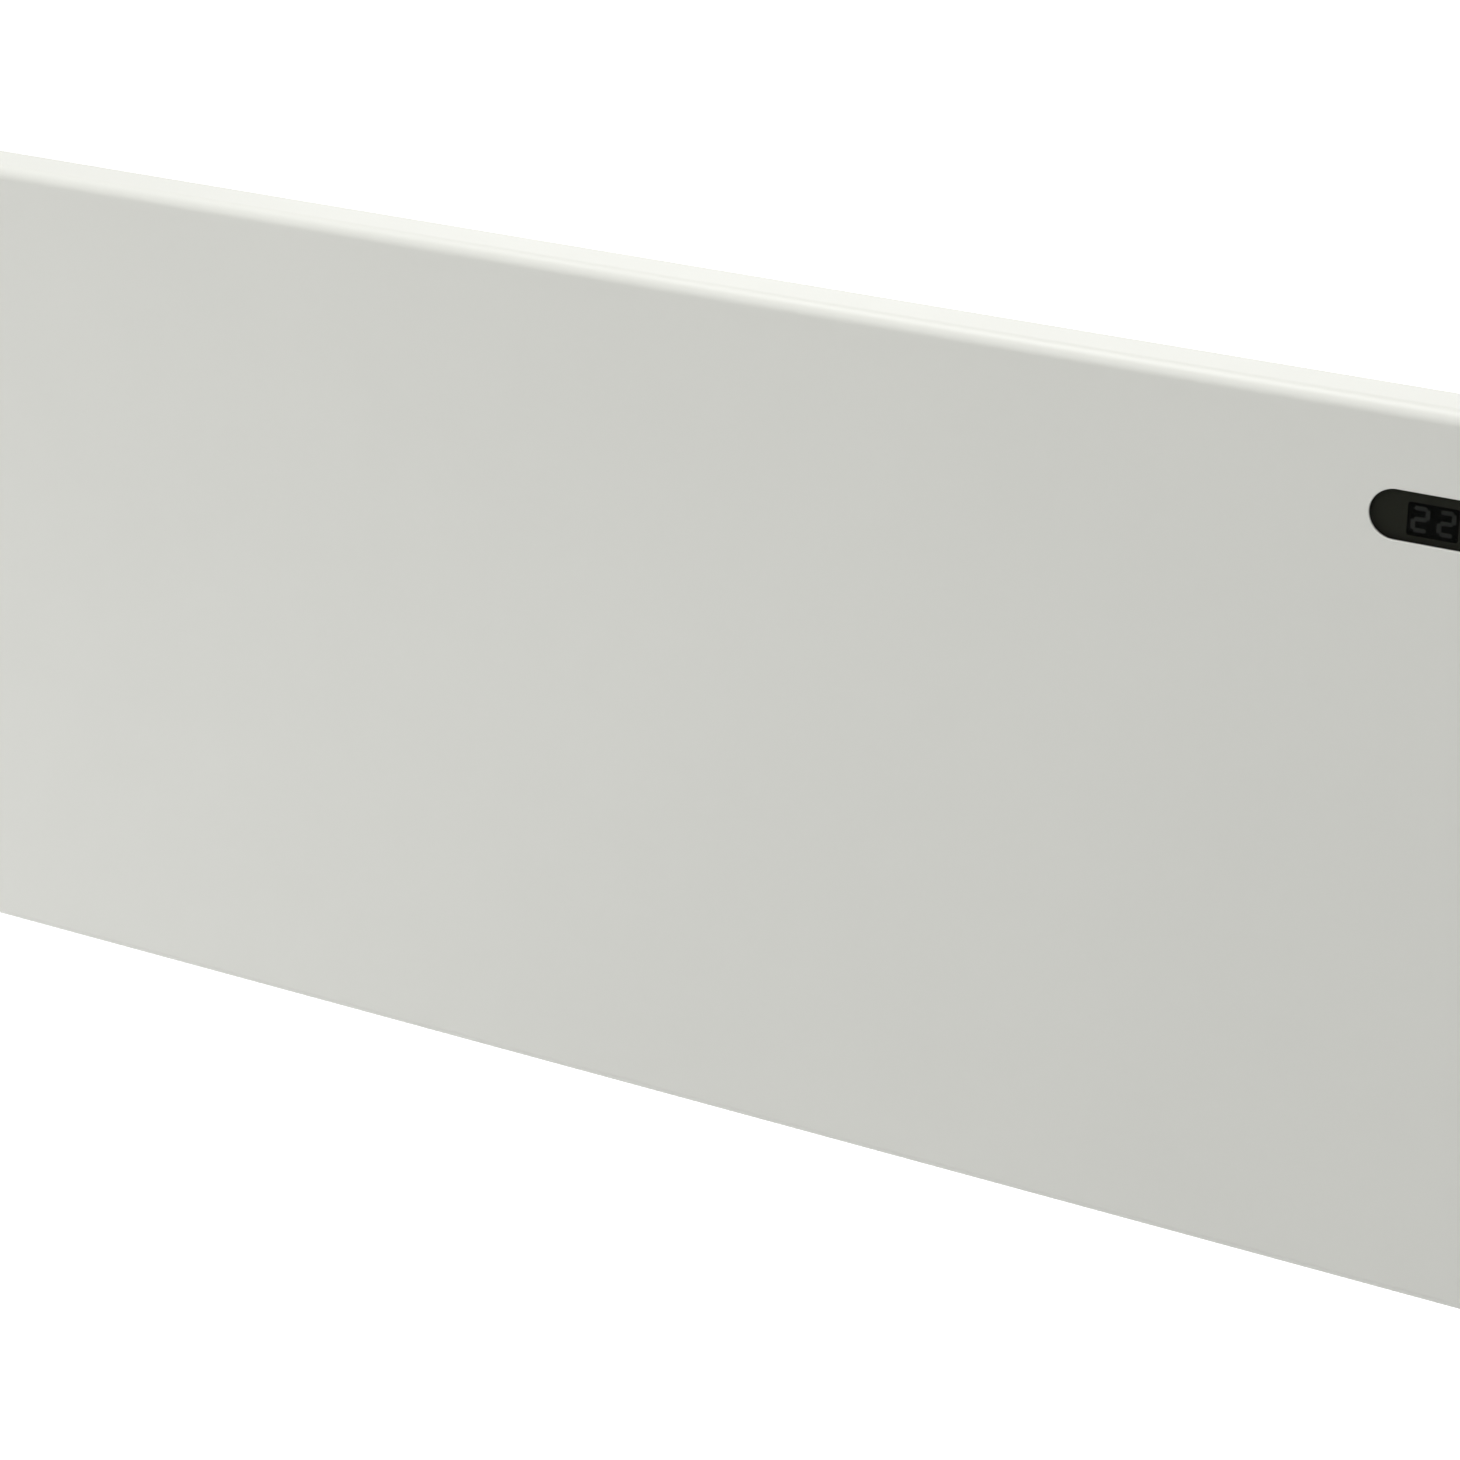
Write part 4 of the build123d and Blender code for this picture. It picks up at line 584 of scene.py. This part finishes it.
def finish_buttons():
    """Soft black buttons whose engraved marks are filled with pale grey ink."""
    tree = new_finish("button_black")
    ink_top, ink_bottom, mark_radius = 0.1 * MM, 0.4 * MM, 2.8 * MM
    low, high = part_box("button_plus")
    pitch = low.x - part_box("button_minus")[0].x
    at = measured_from(tree, ((low.x + high.x) / 2, low.y, (low.z + high.z) / 2))
    across = sums(tree, "PINGPONG", sums(tree, "ABSOLUTE", at["X"]), pitch / 2)
    from_axis = distance(tree, across, at["Z"])
    sunk = sums(tree, "MULTIPLY", sums(tree, "GREATER_THAN", at["Y"], ink_top),
                sums(tree, "LESS_THAN", at["Y"], ink_bottom))
    mark = sums(tree, "MULTIPLY", sunk, sums(tree, "LESS_THAN", from_axis, mark_radius))
    skin = use_effect(tree, moulded_effect, {"Colour": paint(0.011, 0.011, 0.01), "Grain size": 0.25 * MM,
                                             "Gloss": 0.34})
    inked = mix(tree, mark, skin["Colour"], paint(0.42, 0.42, 0.4))
    finish(tree, inked, skin["Roughness"], skin["Height"], 0.004 * MM, Specular_IOR_Level=0.2)


def finish_rocker():
    """The glossy paddle, with white ink in its on and off marks."""
    tree = new_finish("rocker_black")
    pivot_depth, ink_out, ink_band = 4 * MM, 1.85 * MM, 0.06 * MM
    mark_height, mark_radius = 4.6 * MM, 2.0 * MM
    lean = math.radians(7)
    low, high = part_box("rocker_housing")
    at = measured_from(tree, (high.x - pivot_depth, (low.y + high.y) / 2, (low.z + high.z) / 2))
    out = sums(tree, "SUBTRACT", sums(tree, "MULTIPLY", at["X"], math.cos(lean)),
               sums(tree, "MULTIPLY", at["Z"], math.sin(lean)))
    up = sums(tree, "ADD", sums(tree, "MULTIPLY", at["X"], math.sin(lean)),
              sums(tree, "MULTIPLY", at["Z"], math.cos(lean)))
    sunk = sums(tree, "COMPARE", out, ink_out)
    sunk.node.inputs[2].default_value = ink_band
    from_mark = sums(tree, "ABSOLUTE", sums(tree, "SUBTRACT", sums(tree, "ABSOLUTE", up), mark_height))
    near_mark = sums(tree, "LESS_THAN", distance(tree, from_mark, at["Y"]), mark_radius)
    mark = sums(tree, "MULTIPLY", sunk, near_mark)
    skin = use_effect(tree, moulded_effect, {"Colour": paint(0.012, 0.012, 0.013), "Grain size": 1.5 * MM,
                                             "Gloss": 0.22})
    inked = mix(tree, mark, skin["Colour"], paint(0.75, 0.75, 0.73))
    finish(tree, inked, skin["Roughness"], skin["Height"], 0.002 * MM)


def finish_segments():
    """Milky resin of the digits' bars, faintly uneven in tone."""
    tree = new_finish("digit_light")
    glow = clouds(tree, 2.5 * MM, 1.0)
    resin = mix(tree, glow, paint(0.31, 0.33, 0.3), paint(0.38, 0.4, 0.36))
    finish(tree, resin, spread(tree, glow, 0.35, 0.5), clouds(tree, 0.3 * MM), 0.002 * MM)


finish_powder_coated_steel("panel_white", paint(0.795, 0.8, 0.747), gloss=0.42)
finish_moulded("end_cap_white", paint(0.78, 0.785, 0.745), gloss=0.38, grain=0.7 * MM, relief=0.01 * MM,
               rub=0.0)
finish_galvanised_steel()
finish_rolled("spring_steel", paint(0.27, 0.28, 0.31), gloss=0.28, lines=(0.1, 4.0, 4.0),
              film=paint(0.2, 0.15, 0.12))
finish_rolled("zinc_fastener", paint(0.42, 0.44, 0.47), gloss=0.26, lines=(3.0, 3.0, 3.0),
              film=paint(0.46, 0.43, 0.3), film_size=5 * MM)
finish_rolled("brass_terminal", paint(0.72, 0.52, 0.24), gloss=0.27, lines=(3.0, 3.0, 3.0),
              film=paint(0.5, 0.3, 0.14), film_size=4 * MM)
finish_rolled("reflector_aluminium", paint(0.8, 0.81, 0.82), gloss=0.18, lines=(0.05, 2.0, 2.0),
              relief=0.001 * MM)
finish_rolled("element_aluminium", paint(0.7, 0.7, 0.71), gloss=0.36, lines=(0.03, 4.0, 4.0),
              film=paint(0.55, 0.5, 0.43), film_size=80 * MM)
finish_element_sheath()
finish_glazed_ceramic()
finish_filled_moulding("phenolic_black", paint(0.018, 0.016, 0.014), paint(0.07, 0.055, 0.04), gloss=0.3)
finish_moulded("rubber_black", paint(0.02, 0.02, 0.021), gloss=0.75, grain=0.3 * MM, relief=0.01 * MM)
finish_circuit_board()
finish_moulded("standoff_nylon", paint(0.72, 0.7, 0.63), gloss=0.42, Subsurface_Weight=0.2,
               Subsurface_Scale=0.5 * MM)
finish_moulded("relay_black", paint(0.022, 0.022, 0.024), gloss=0.42, grain=0.3 * MM, relief=0.012 * MM)
finish_transformer()
finish_capacitor_sleeve()
finish_moulded("connector_white", paint(0.76, 0.74, 0.68), gloss=0.42)
finish_moulded("terminal_grey", paint(0.3, 0.31, 0.31), gloss=0.5, grain=0.3 * MM, relief=0.01 * MM)
finish_insulated_lead("lead_red", paint(0.4, 0.03, 0.02), weave=1.0)
finish_insulated_lead("lead_brown", paint(0.11, 0.045, 0.022), weave=0.0)
finish_insulated_lead("lead_black", paint(0.018, 0.018, 0.018), weave=0.0)
finish_moulded("sensor_epoxy", paint(0.03, 0.022, 0.016), gloss=0.15, grain=2.0 * MM, relief=0.03 * MM)
finish_smoked_window()
finish_printed_film()
finish_buttons()
finish_moulded("housing_black", paint(0.02, 0.02, 0.019), gloss=0.5, grain=0.35 * MM, relief=0.012 * MM,
               rub=0.05)
finish_digit_module()
finish_segments()
finish_rocker()


# ---- the CAD pieces get their finishes ---------------------------------------------------------
def dress_cad_nodes():
    """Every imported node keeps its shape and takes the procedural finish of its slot."""
    for node in cad_nodes.values():
        for material_slot in node.material_slots:
            material_slot.material = finishes[material_slot.material.name]


dress_cad_nodes()


def dress(piece, finish_name):
    """Gives a new piece its finish."""
    piece.data.materials.clear()
    piece.data.materials.append(finishes[finish_name])


def add_piece(piece, body, slot, *replaced, finished_as=None):
    """Gives a new piece its finish, hangs it from the empty of the body that carries it, and hides the nodes
    it stands for.
    """
    dress(piece, finished_as or slot)
    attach(piece, body)
    if replaced:
        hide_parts(*replaced)


# ---- the folded front --------------------------------------------------------------------------
def bend(centre_y, centre_z, steps, towards):
    """Turns the selected edge a quarter turn about a line along X."""
    bpy.ops.mesh.spin(steps=steps, angle=-towards * quarter_turn, center=(0, centre_y, centre_z),
                      axis=(1, 0, 0))


def model_front_shell():
    """The steel front: a flat blank whose long edges are bent back and returned as lips."""
    high, low = panel_top - top_bend, panel_bottom + bottom_bend
    middle = (0, face_y, (high + low) / 2)
    shell = start_piece("front_shell", bpy.ops.mesh.primitive_plane_add, size=1.0,
                        location=middle, rotation=(quarter_turn, 0, 0))
    edit(shell)
    bpy.ops.mesh.select_all(action="SELECT")
    bpy.ops.transform.resize(value=(2 * sheet_end, 1, high - low), center_override=middle)
    for end, direction, radius, lip in ((high, 1, top_bend, upper_lip), (low, -1, bottom_bend, lower_lip)):
        edge_z = end + direction * radius
        pick(shell, lambda at: abs(at.z - end) < 0.01 * MM)
        bend(face_y + radius, end, 20, -direction)
        push(y=pan_back_y - lip_bend - face_y - radius)
        bend(pan_back_y - lip_bend, edge_z - direction * lip_bend, 8, -direction)
        push(z=direction * (lip_bend - lip))
    close_edit()
    apply_modifier(shell, "SOLIDIFY", thickness=sheet, offset=-1.0)
    return shell


def join(pieces):
    """Several pieces made into the first one."""
    take(pieces[0])
    for piece in pieces[1:]:
        piece.select_set(True)
    bpy.ops.object.join()
    return bpy.context.object


def round_bar(name, at, radius, depth, axis="Z", sides=32):
    """A round bar centred on a point, along Y or Z."""
    turn = {"Y": (quarter_turn, 0, 0), "Z": (0, 0, 0)}[axis]
    return start_piece(name, bpy.ops.mesh.primitive_cylinder_add, vertices=sides, radius=radius, depth=depth,
                       location=at, rotation=turn)


def node_centres(node, gap=3 * MM):
    """The middles of the separate solids in a node, told apart by their places along X and Z."""
    groups = []
    for vertex in cad_nodes[node].data.vertices:
        for group in groups:
            low, high = group
            if all(low[i] - gap < vertex.co[i] < high[i] + gap for i in range(3)):
                for i in range(3):
                    low[i], high[i] = min(low[i], vertex.co[i]), max(high[i], vertex.co[i])
                break
        else:
            groups.append(([*vertex.co], [*vertex.co]))
    return [(Vector(low) + Vector(high)) / 2 for low, high in groups]


def roll_opening_lip(shell):
    """Eases the front edge of the display opening into a small rolled lip."""
    lip_radius = 0.45 * MM
    left, right = pill_middle.x - pill_length / 2, pill_middle.x + pill_length / 2
    reach = pill_radius + 2 * pill_gap
    edit(shell)
    pick(shell, lambda at: abs(at.y - face_y) < 0.01 * MM and abs(at.z - pill_middle.z) < reach
         and left - 2 * pill_gap < at.x < right + 2 * pill_gap)
    bpy.ops.mesh.bevel(offset=lip_radius, segments=4, profile=0.5)
    bpy.ops.object.mode_set(mode="OBJECT")


def weld_stud(centre):
    """One of the studs behind the display, chamfered at its free end."""
    radius, length, stand, chamfer = 1.5 * MM, 6.2 * MM, 4 * MM, 0.4 * MM
    stud = round_bar("stud", (centre.x, face_y + stand, centre.z), radius, length, "Y", sides=24)
    edit(stud)
    pick(stud, lambda at: at.y > face_y + stand + length / 4)
    bpy.ops.mesh.bevel(offset=chamfer, segments=2)
    close_edit()
    return stud


def model_front():
    """The finished front: opening, screw holes, sensing holes and the two studs behind the display."""
    screw_hole_radius, sensing_hole_radius = 1.8 * MM, 1.0 * MM
    shell = model_front_shell()
    cutters = [upright_pill("opening_tool", face_y - 2 * sheet, 4 * sheet, rim=pill_gap)]
    for centre in node_centres("lip_screws"):
        cutters.append(round_bar("screw_hole", (centre.x, pan_back_y, centre.z), screw_hole_radius, 4 * sheet,
                                 "Y"))
    sensor_low, sensor_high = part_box("room_sensor")
    sensor = (sensor_low + sensor_high) / 2
    for offset in (-6, -2, 2, 6):
        cutters.append(round_bar("sensing_hole", (sensor.x + offset * MM, sensor.y, panel_bottom),
                                 sensing_hole_radius, 4 * sheet))
    cut(shell, join(cutters))
    roll_opening_lip(shell)
    shell = join([shell] + [weld_stud(centre) for centre in node_centres("display_nuts")])
    smooth_shade(shell)
    add_piece(shell, "heater", "panel_white", "front_panel")


model_front()


# ---- display -----------------------------------------------------------------------------------
def digit_opening(depth):
    """A solid the size of the film's opening over the digits, with its corners rounded."""
    low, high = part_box("digit_display")
    middle = (low + high) / 2
    border, corner_radius = 0.3 * MM, 1.2 * MM
    opening = start_piece("digit_opening", bpy.ops.mesh.primitive_cube_add, size=1.0,
                          location=(middle.x, window_high.y, middle.z),
                          scale=(high.x - low.x - 2 * border, depth, high.z - low.z - 2 * border))
    edit(opening, "EDGE")
    pick_edges(opening, lambda first, second: abs(first.y - second.y) > depth / 2)
    bpy.ops.mesh.bevel(offset=corner_radius, segments=6)
    bpy.ops.object.mode_set(mode="OBJECT")
    return opening


def model_window_film():
    """The printed film behind the smoked window, open over the digits and round the buttons."""
    air_gap, thickness, margin = 0.02 * MM, 0.05 * MM, 0.1 * MM
    button_collar, button_gap = 1.2 * MM, 0.3 * MM
    film = upright_pill("window_film", window_high.y + air_gap, thickness, rim=window_flange - margin)
    cutters = [digit_opening(sheet)]
    for button in ("button_minus", "button_plus", "button_mode"):
        low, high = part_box(button)
        middle = (low + high) / 2
        hole_radius = (high.z - low.z) / 2 - button_collar + button_gap
        cutters.append(round_bar("button_hole", (middle.x, window_high.y, middle.z), hole_radius, sheet, "Y",
                                 sides=64))
    cut(film, *cutters)
    smooth_shade(film)
    add_piece(film, "heater", "housing_black", finished_as="printed_film")


model_window_film()


# ---- cord gland --------------------------------------------------------------------------------
def turn_profile(name, centre, rings, sides=48):
    """A turned piece about an upright axis: a ring at each (radius, height), closed back on the first."""
    first_radius, first_height = rings[0]
    piece = start_piece(name, bpy.ops.mesh.primitive_circle_add, vertices=sides, radius=first_radius,
                        location=(centre.x, centre.y, first_height))
    edit(piece)
    bpy.ops.mesh.select_all(action="SELECT")
    for (radius, height), (next_radius, next_height) in zip(rings, rings[1:] + rings[:1]):
        push(z=next_height - height)
        widen = next_radius / radius
        bpy.ops.transform.resize(value=(widen, widen, 1), center_override=(centre.x, centre.y, next_height))
    close_edit()
    return piece


def model_gland():
    """The cord gland: threaded neck, flange and a clamping cap with grip flutes."""
    low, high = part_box("cord_gland")
    centre = (low + high) / 2
    casing_lip = 10 * MM
    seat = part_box("rear_casing")[0].z + casing_lip
    bore, neck, flange, cap = 3.75 * MM, 6.9 * MM, 10 * MM, 8.6 * MM
    pitch, thread_depth = 1.5 * MM, 0.45 * MM
    flange_thickness, eased = 2.6 * MM, 0.4 * MM
    cap_insets_and_drops = ((-0.2, 2.7), (0, 3.2), (0, 5.5), (0, 7.8), (0.5, 9.4), (1.6, 10.8), (3, 11.7))
    rings = [(bore, high.z), (neck - 2 * thread_depth, high.z)]
    height = high.z - pitch
    while height > seat + pitch:
        rings += [(neck, height + pitch / 3), (neck, height), (neck - thread_depth, height - pitch / 3)]
        height -= pitch
    rings += [(neck, seat), (flange - eased, seat), (flange, seat - eased),
              (flange, seat - flange_thickness + eased), (flange - eased, seat - flange_thickness)]
    rings += [(cap - inset * MM, seat - drop * MM) for inset, drop in cap_insets_and_drops]
    rings += [(bore + 0.7 * MM, low.z), (bore, low.z + 0.5 * MM)]
    gland = turn_profile("gland_body", centre, rings, sides=96)
    flutes, flute_top, flute_bottom, pressed_in = 12, 3 * MM, 10 * MM, 0.92
    flute_edge, wall = -0.3, 1 * MM
    edit(gland)
    pick(gland, lambda at: seat - flute_bottom < at.z < seat - flute_top
         and math.cos(flutes * math.atan2(at.y - centre.y, at.x - centre.x)) < flute_edge
         and math.hypot(at.x - centre.x, at.y - centre.y) > bore + wall)
    bpy.ops.transform.resize(value=(pressed_in, pressed_in, 1), center_override=centre)
    close_edit()
    smooth_shade(gland, 40.0)
    add_piece(gland, "heater", "housing_black", "cord_gland")


model_gland()


# ---- latch springs -----------------------------------------------------------------------------
def draw_wire(name, points, bend_radius, radius, sides=12):
    """A round wire through points in an upright plane along X, each corner bent to the same radius."""
    feed_step = 1 * MM
    wire = start_piece(name, bpy.ops.mesh.primitive_circle_add, vertices=sides, radius=radius,
                       location=points[0], rotation=(0, quarter_turn, 0))
    edit(wire)
    bpy.ops.mesh.select_all(action="SELECT")
    runs = [end - start for start, end in zip(points, points[1:])]
    at, trimmed = points[0].copy(), 0.0
    for run, following in zip(runs, runs[1:] + runs[-1:]):
        turn = math.atan2(run.cross(following).y, run.dot(following))
        tangent = bend_radius * math.tan(abs(turn) / 2)
        length = run.length - trimmed - tangent
        steps = math.ceil(length / feed_step)
        for _ in range(steps):
            push(*(run.normalized() * length / steps))
        at += run.normalized() * length
        if turn:
            inward = Vector((0, math.copysign(1, turn), 0)).cross(run.normalized())
            bpy.ops.mesh.spin(steps=6, angle=-turn, center=at + inward * bend_radius, axis=(0, 1, 0))
            at += (run.normalized() + following.normalized()) * tangent
        trimmed = tangent
    bpy.ops.mesh.select_all(action="SELECT")
    bpy.ops.mesh.fill_holes(sides=sides)
    close_edit()
    return wire


def model_latch_springs():
    """A bent wire under each latch lever, its foot on the bracket and its head under the lever."""
    low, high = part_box("latch_return_springs")
    radius, bend_radius = 0.4 * MM, 1.2 * MM
    head_z = high.z - radius
    elbow_x = high.x - radius
    foot_x, head_x = elbow_x - 4.75 * MM, elbow_x - 4.6 * MM
    knee_z, ankle_z = low.z + 8 * MM, low.z + 5 * MM
    springs = ((-1, "latch_spring_left", "left_latch"), (1, "latch_spring_right", "right_latch"))
    for side, name, latch in springs:
        route = [(head_x, head_z), (elbow_x, head_z), (elbow_x - 1 * MM, knee_z), (foot_x, ankle_z),
                 (foot_x, low.z)]
        points = [Vector((side * x, (low.y + high.y) / 2, z)) for x, z in route]
        spring = draw_wire(name, points, bend_radius, radius)
        smooth_shade(spring)
        dress(spring, "spring_steel")
        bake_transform(spring)
        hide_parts("latch_return_springs")


model_latch_springs()


# ---- stage, light and camera -------------------------------------------------------------------
def shown_to_eye(tree):
    """1 for rays from the camera, a mirror or through glass, and 0 for light that bounces."""
    path = add_node(tree, "LightPath").outputs
    seen = sums(tree, "MAXIMUM", path["Is Camera Ray"], path["Is Glossy Ray"])
    return sums(tree, "MAXIMUM", seen, path["Is Transmission Ray"])


def lay_floor():
    """A plain pale floor, well below the heater, that looks white except in the heater's shadow."""
    floor_width, drop = 60.0, 1.2
    shadow_end, white_start, shadow_glow = 0.6, 1.6, 0.15
    floor = start_piece("floor", bpy.ops.mesh.primitive_plane_add, size=floor_width, location=(0, 0, -drop))
    material = bpy.data.materials.new("pale_floor")
    material.use_nodes = True
    tree = material.node_tree
    shader = tree.nodes["Principled BSDF"]
    shader.inputs["Base Color"].default_value = paint(0.86, 0.86, 0.86)
    shader.inputs["Roughness"].default_value = 0.9
    shader.inputs["Emission Color"].default_value = paint(1.0, 1.0, 1.0)
    reach = add_node(tree, "VectorMath", {0: place(tree)}, operation="LENGTH").outputs["Value"]
    fade = spread(tree, step_between(tree, reach, shadow_end, white_start), shadow_glow, 1.0)
    feed(tree, shader.inputs["Emission Strength"], sums(tree, "MULTIPLY", shown_to_eye(tree), fade))
    floor.data.materials.append(material)


def light_sky(level):
    """White all round to the eye, and an even soft light on the object."""
    world = bpy.data.worlds.new("studio")
    bpy.context.scene.world = world
    world.use_nodes = True
    tree = world.node_tree
    sky = tree.nodes["Background"]
    sky.inputs["Color"].default_value = paint(1.0, 1.0, 1.0)
    feed(tree, sky.inputs["Strength"], spread(tree, shown_to_eye(tree), level, 1.0))


def hang_softbox(name, at, towards, width, height, watts):
    """A soft rectangular lamp facing a point."""
    lamp = bpy.data.lights.new(name, "AREA")
    lamp.shape = "RECTANGLE"
    lamp.size, lamp.size_y = width, height
    lamp.energy = watts
    lamp_object = bpy.data.objects.new(name, lamp)
    lamp_object.location = at
    lamp_object.rotation_euler = (Vector(towards) - Vector(at)).to_track_quat("-Z", "Y").to_euler()
    bpy.context.scene.collection.objects.link(lamp_object)


def set_camera():
    """The photograph's viewpoint: from the right and above, with both ends of the heater out of frame."""
    azimuth, elevation, standing_back = math.radians(27.68), math.radians(25.27), 1.540
    target = Vector((0.0742, -0.084, -0.0025))
    back = Vector((math.sin(azimuth) * math.cos(elevation), -math.cos(azimuth) * math.cos(elevation),
                   math.sin(elevation)))
    lens = bpy.data.cameras.new("viewpoint")
    lens.sensor_width = 36.0
    lens.lens = 93.25
    viewpoint = bpy.data.objects.new("viewpoint", lens)
    viewpoint.location = target + back * standing_back
    viewpoint.rotation_euler = (-back).to_track_quat("-Z", "Y").to_euler()
    bpy.context.scene.collection.objects.link(viewpoint)
    bpy.context.scene.camera = viewpoint


bpy.context.scene.view_settings.view_transform = "Standard"
lay_floor()
light_sky(level=0.135)
hang_softbox("top_softbox", at=(-0.1, -0.35, 2.4), towards=(0, -0.08, 0), width=2.6, height=1.2, watts=47.0)
hang_softbox("front_softbox", at=(0.1, -2.6, 1.5), towards=(0, -0.08, 0), width=2.4, height=2.0, watts=17.0)
hang_softbox("left_softbox", at=(-1.5, -2.4, 1.3), towards=(0, -0.08, 0), width=1.8, height=1.8, watts=9.0)
hang_softbox("low_left_card", at=(-1.4, -1.3, -0.8), towards=(-0.3, -0.08, -0.1), width=1.2, height=0.8,
             watts=5.0)
hang_softbox("low_card", at=(-0.7, -1.7, -0.95), towards=(0.05, -0.08, -0.12), width=1.6, height=0.7,
             watts=2.5)
hang_softbox("rear_softbox", at=(-0.6, 2.6, 0.2), towards=(0, 0, 0), width=2.4, height=1.8, watts=17.0)
hang_softbox("right_softbox", at=(2.6, 0.7, 0.4), towards=(0.4, 0, 0), width=1.8, height=1.8, watts=20.0)
set_camera()
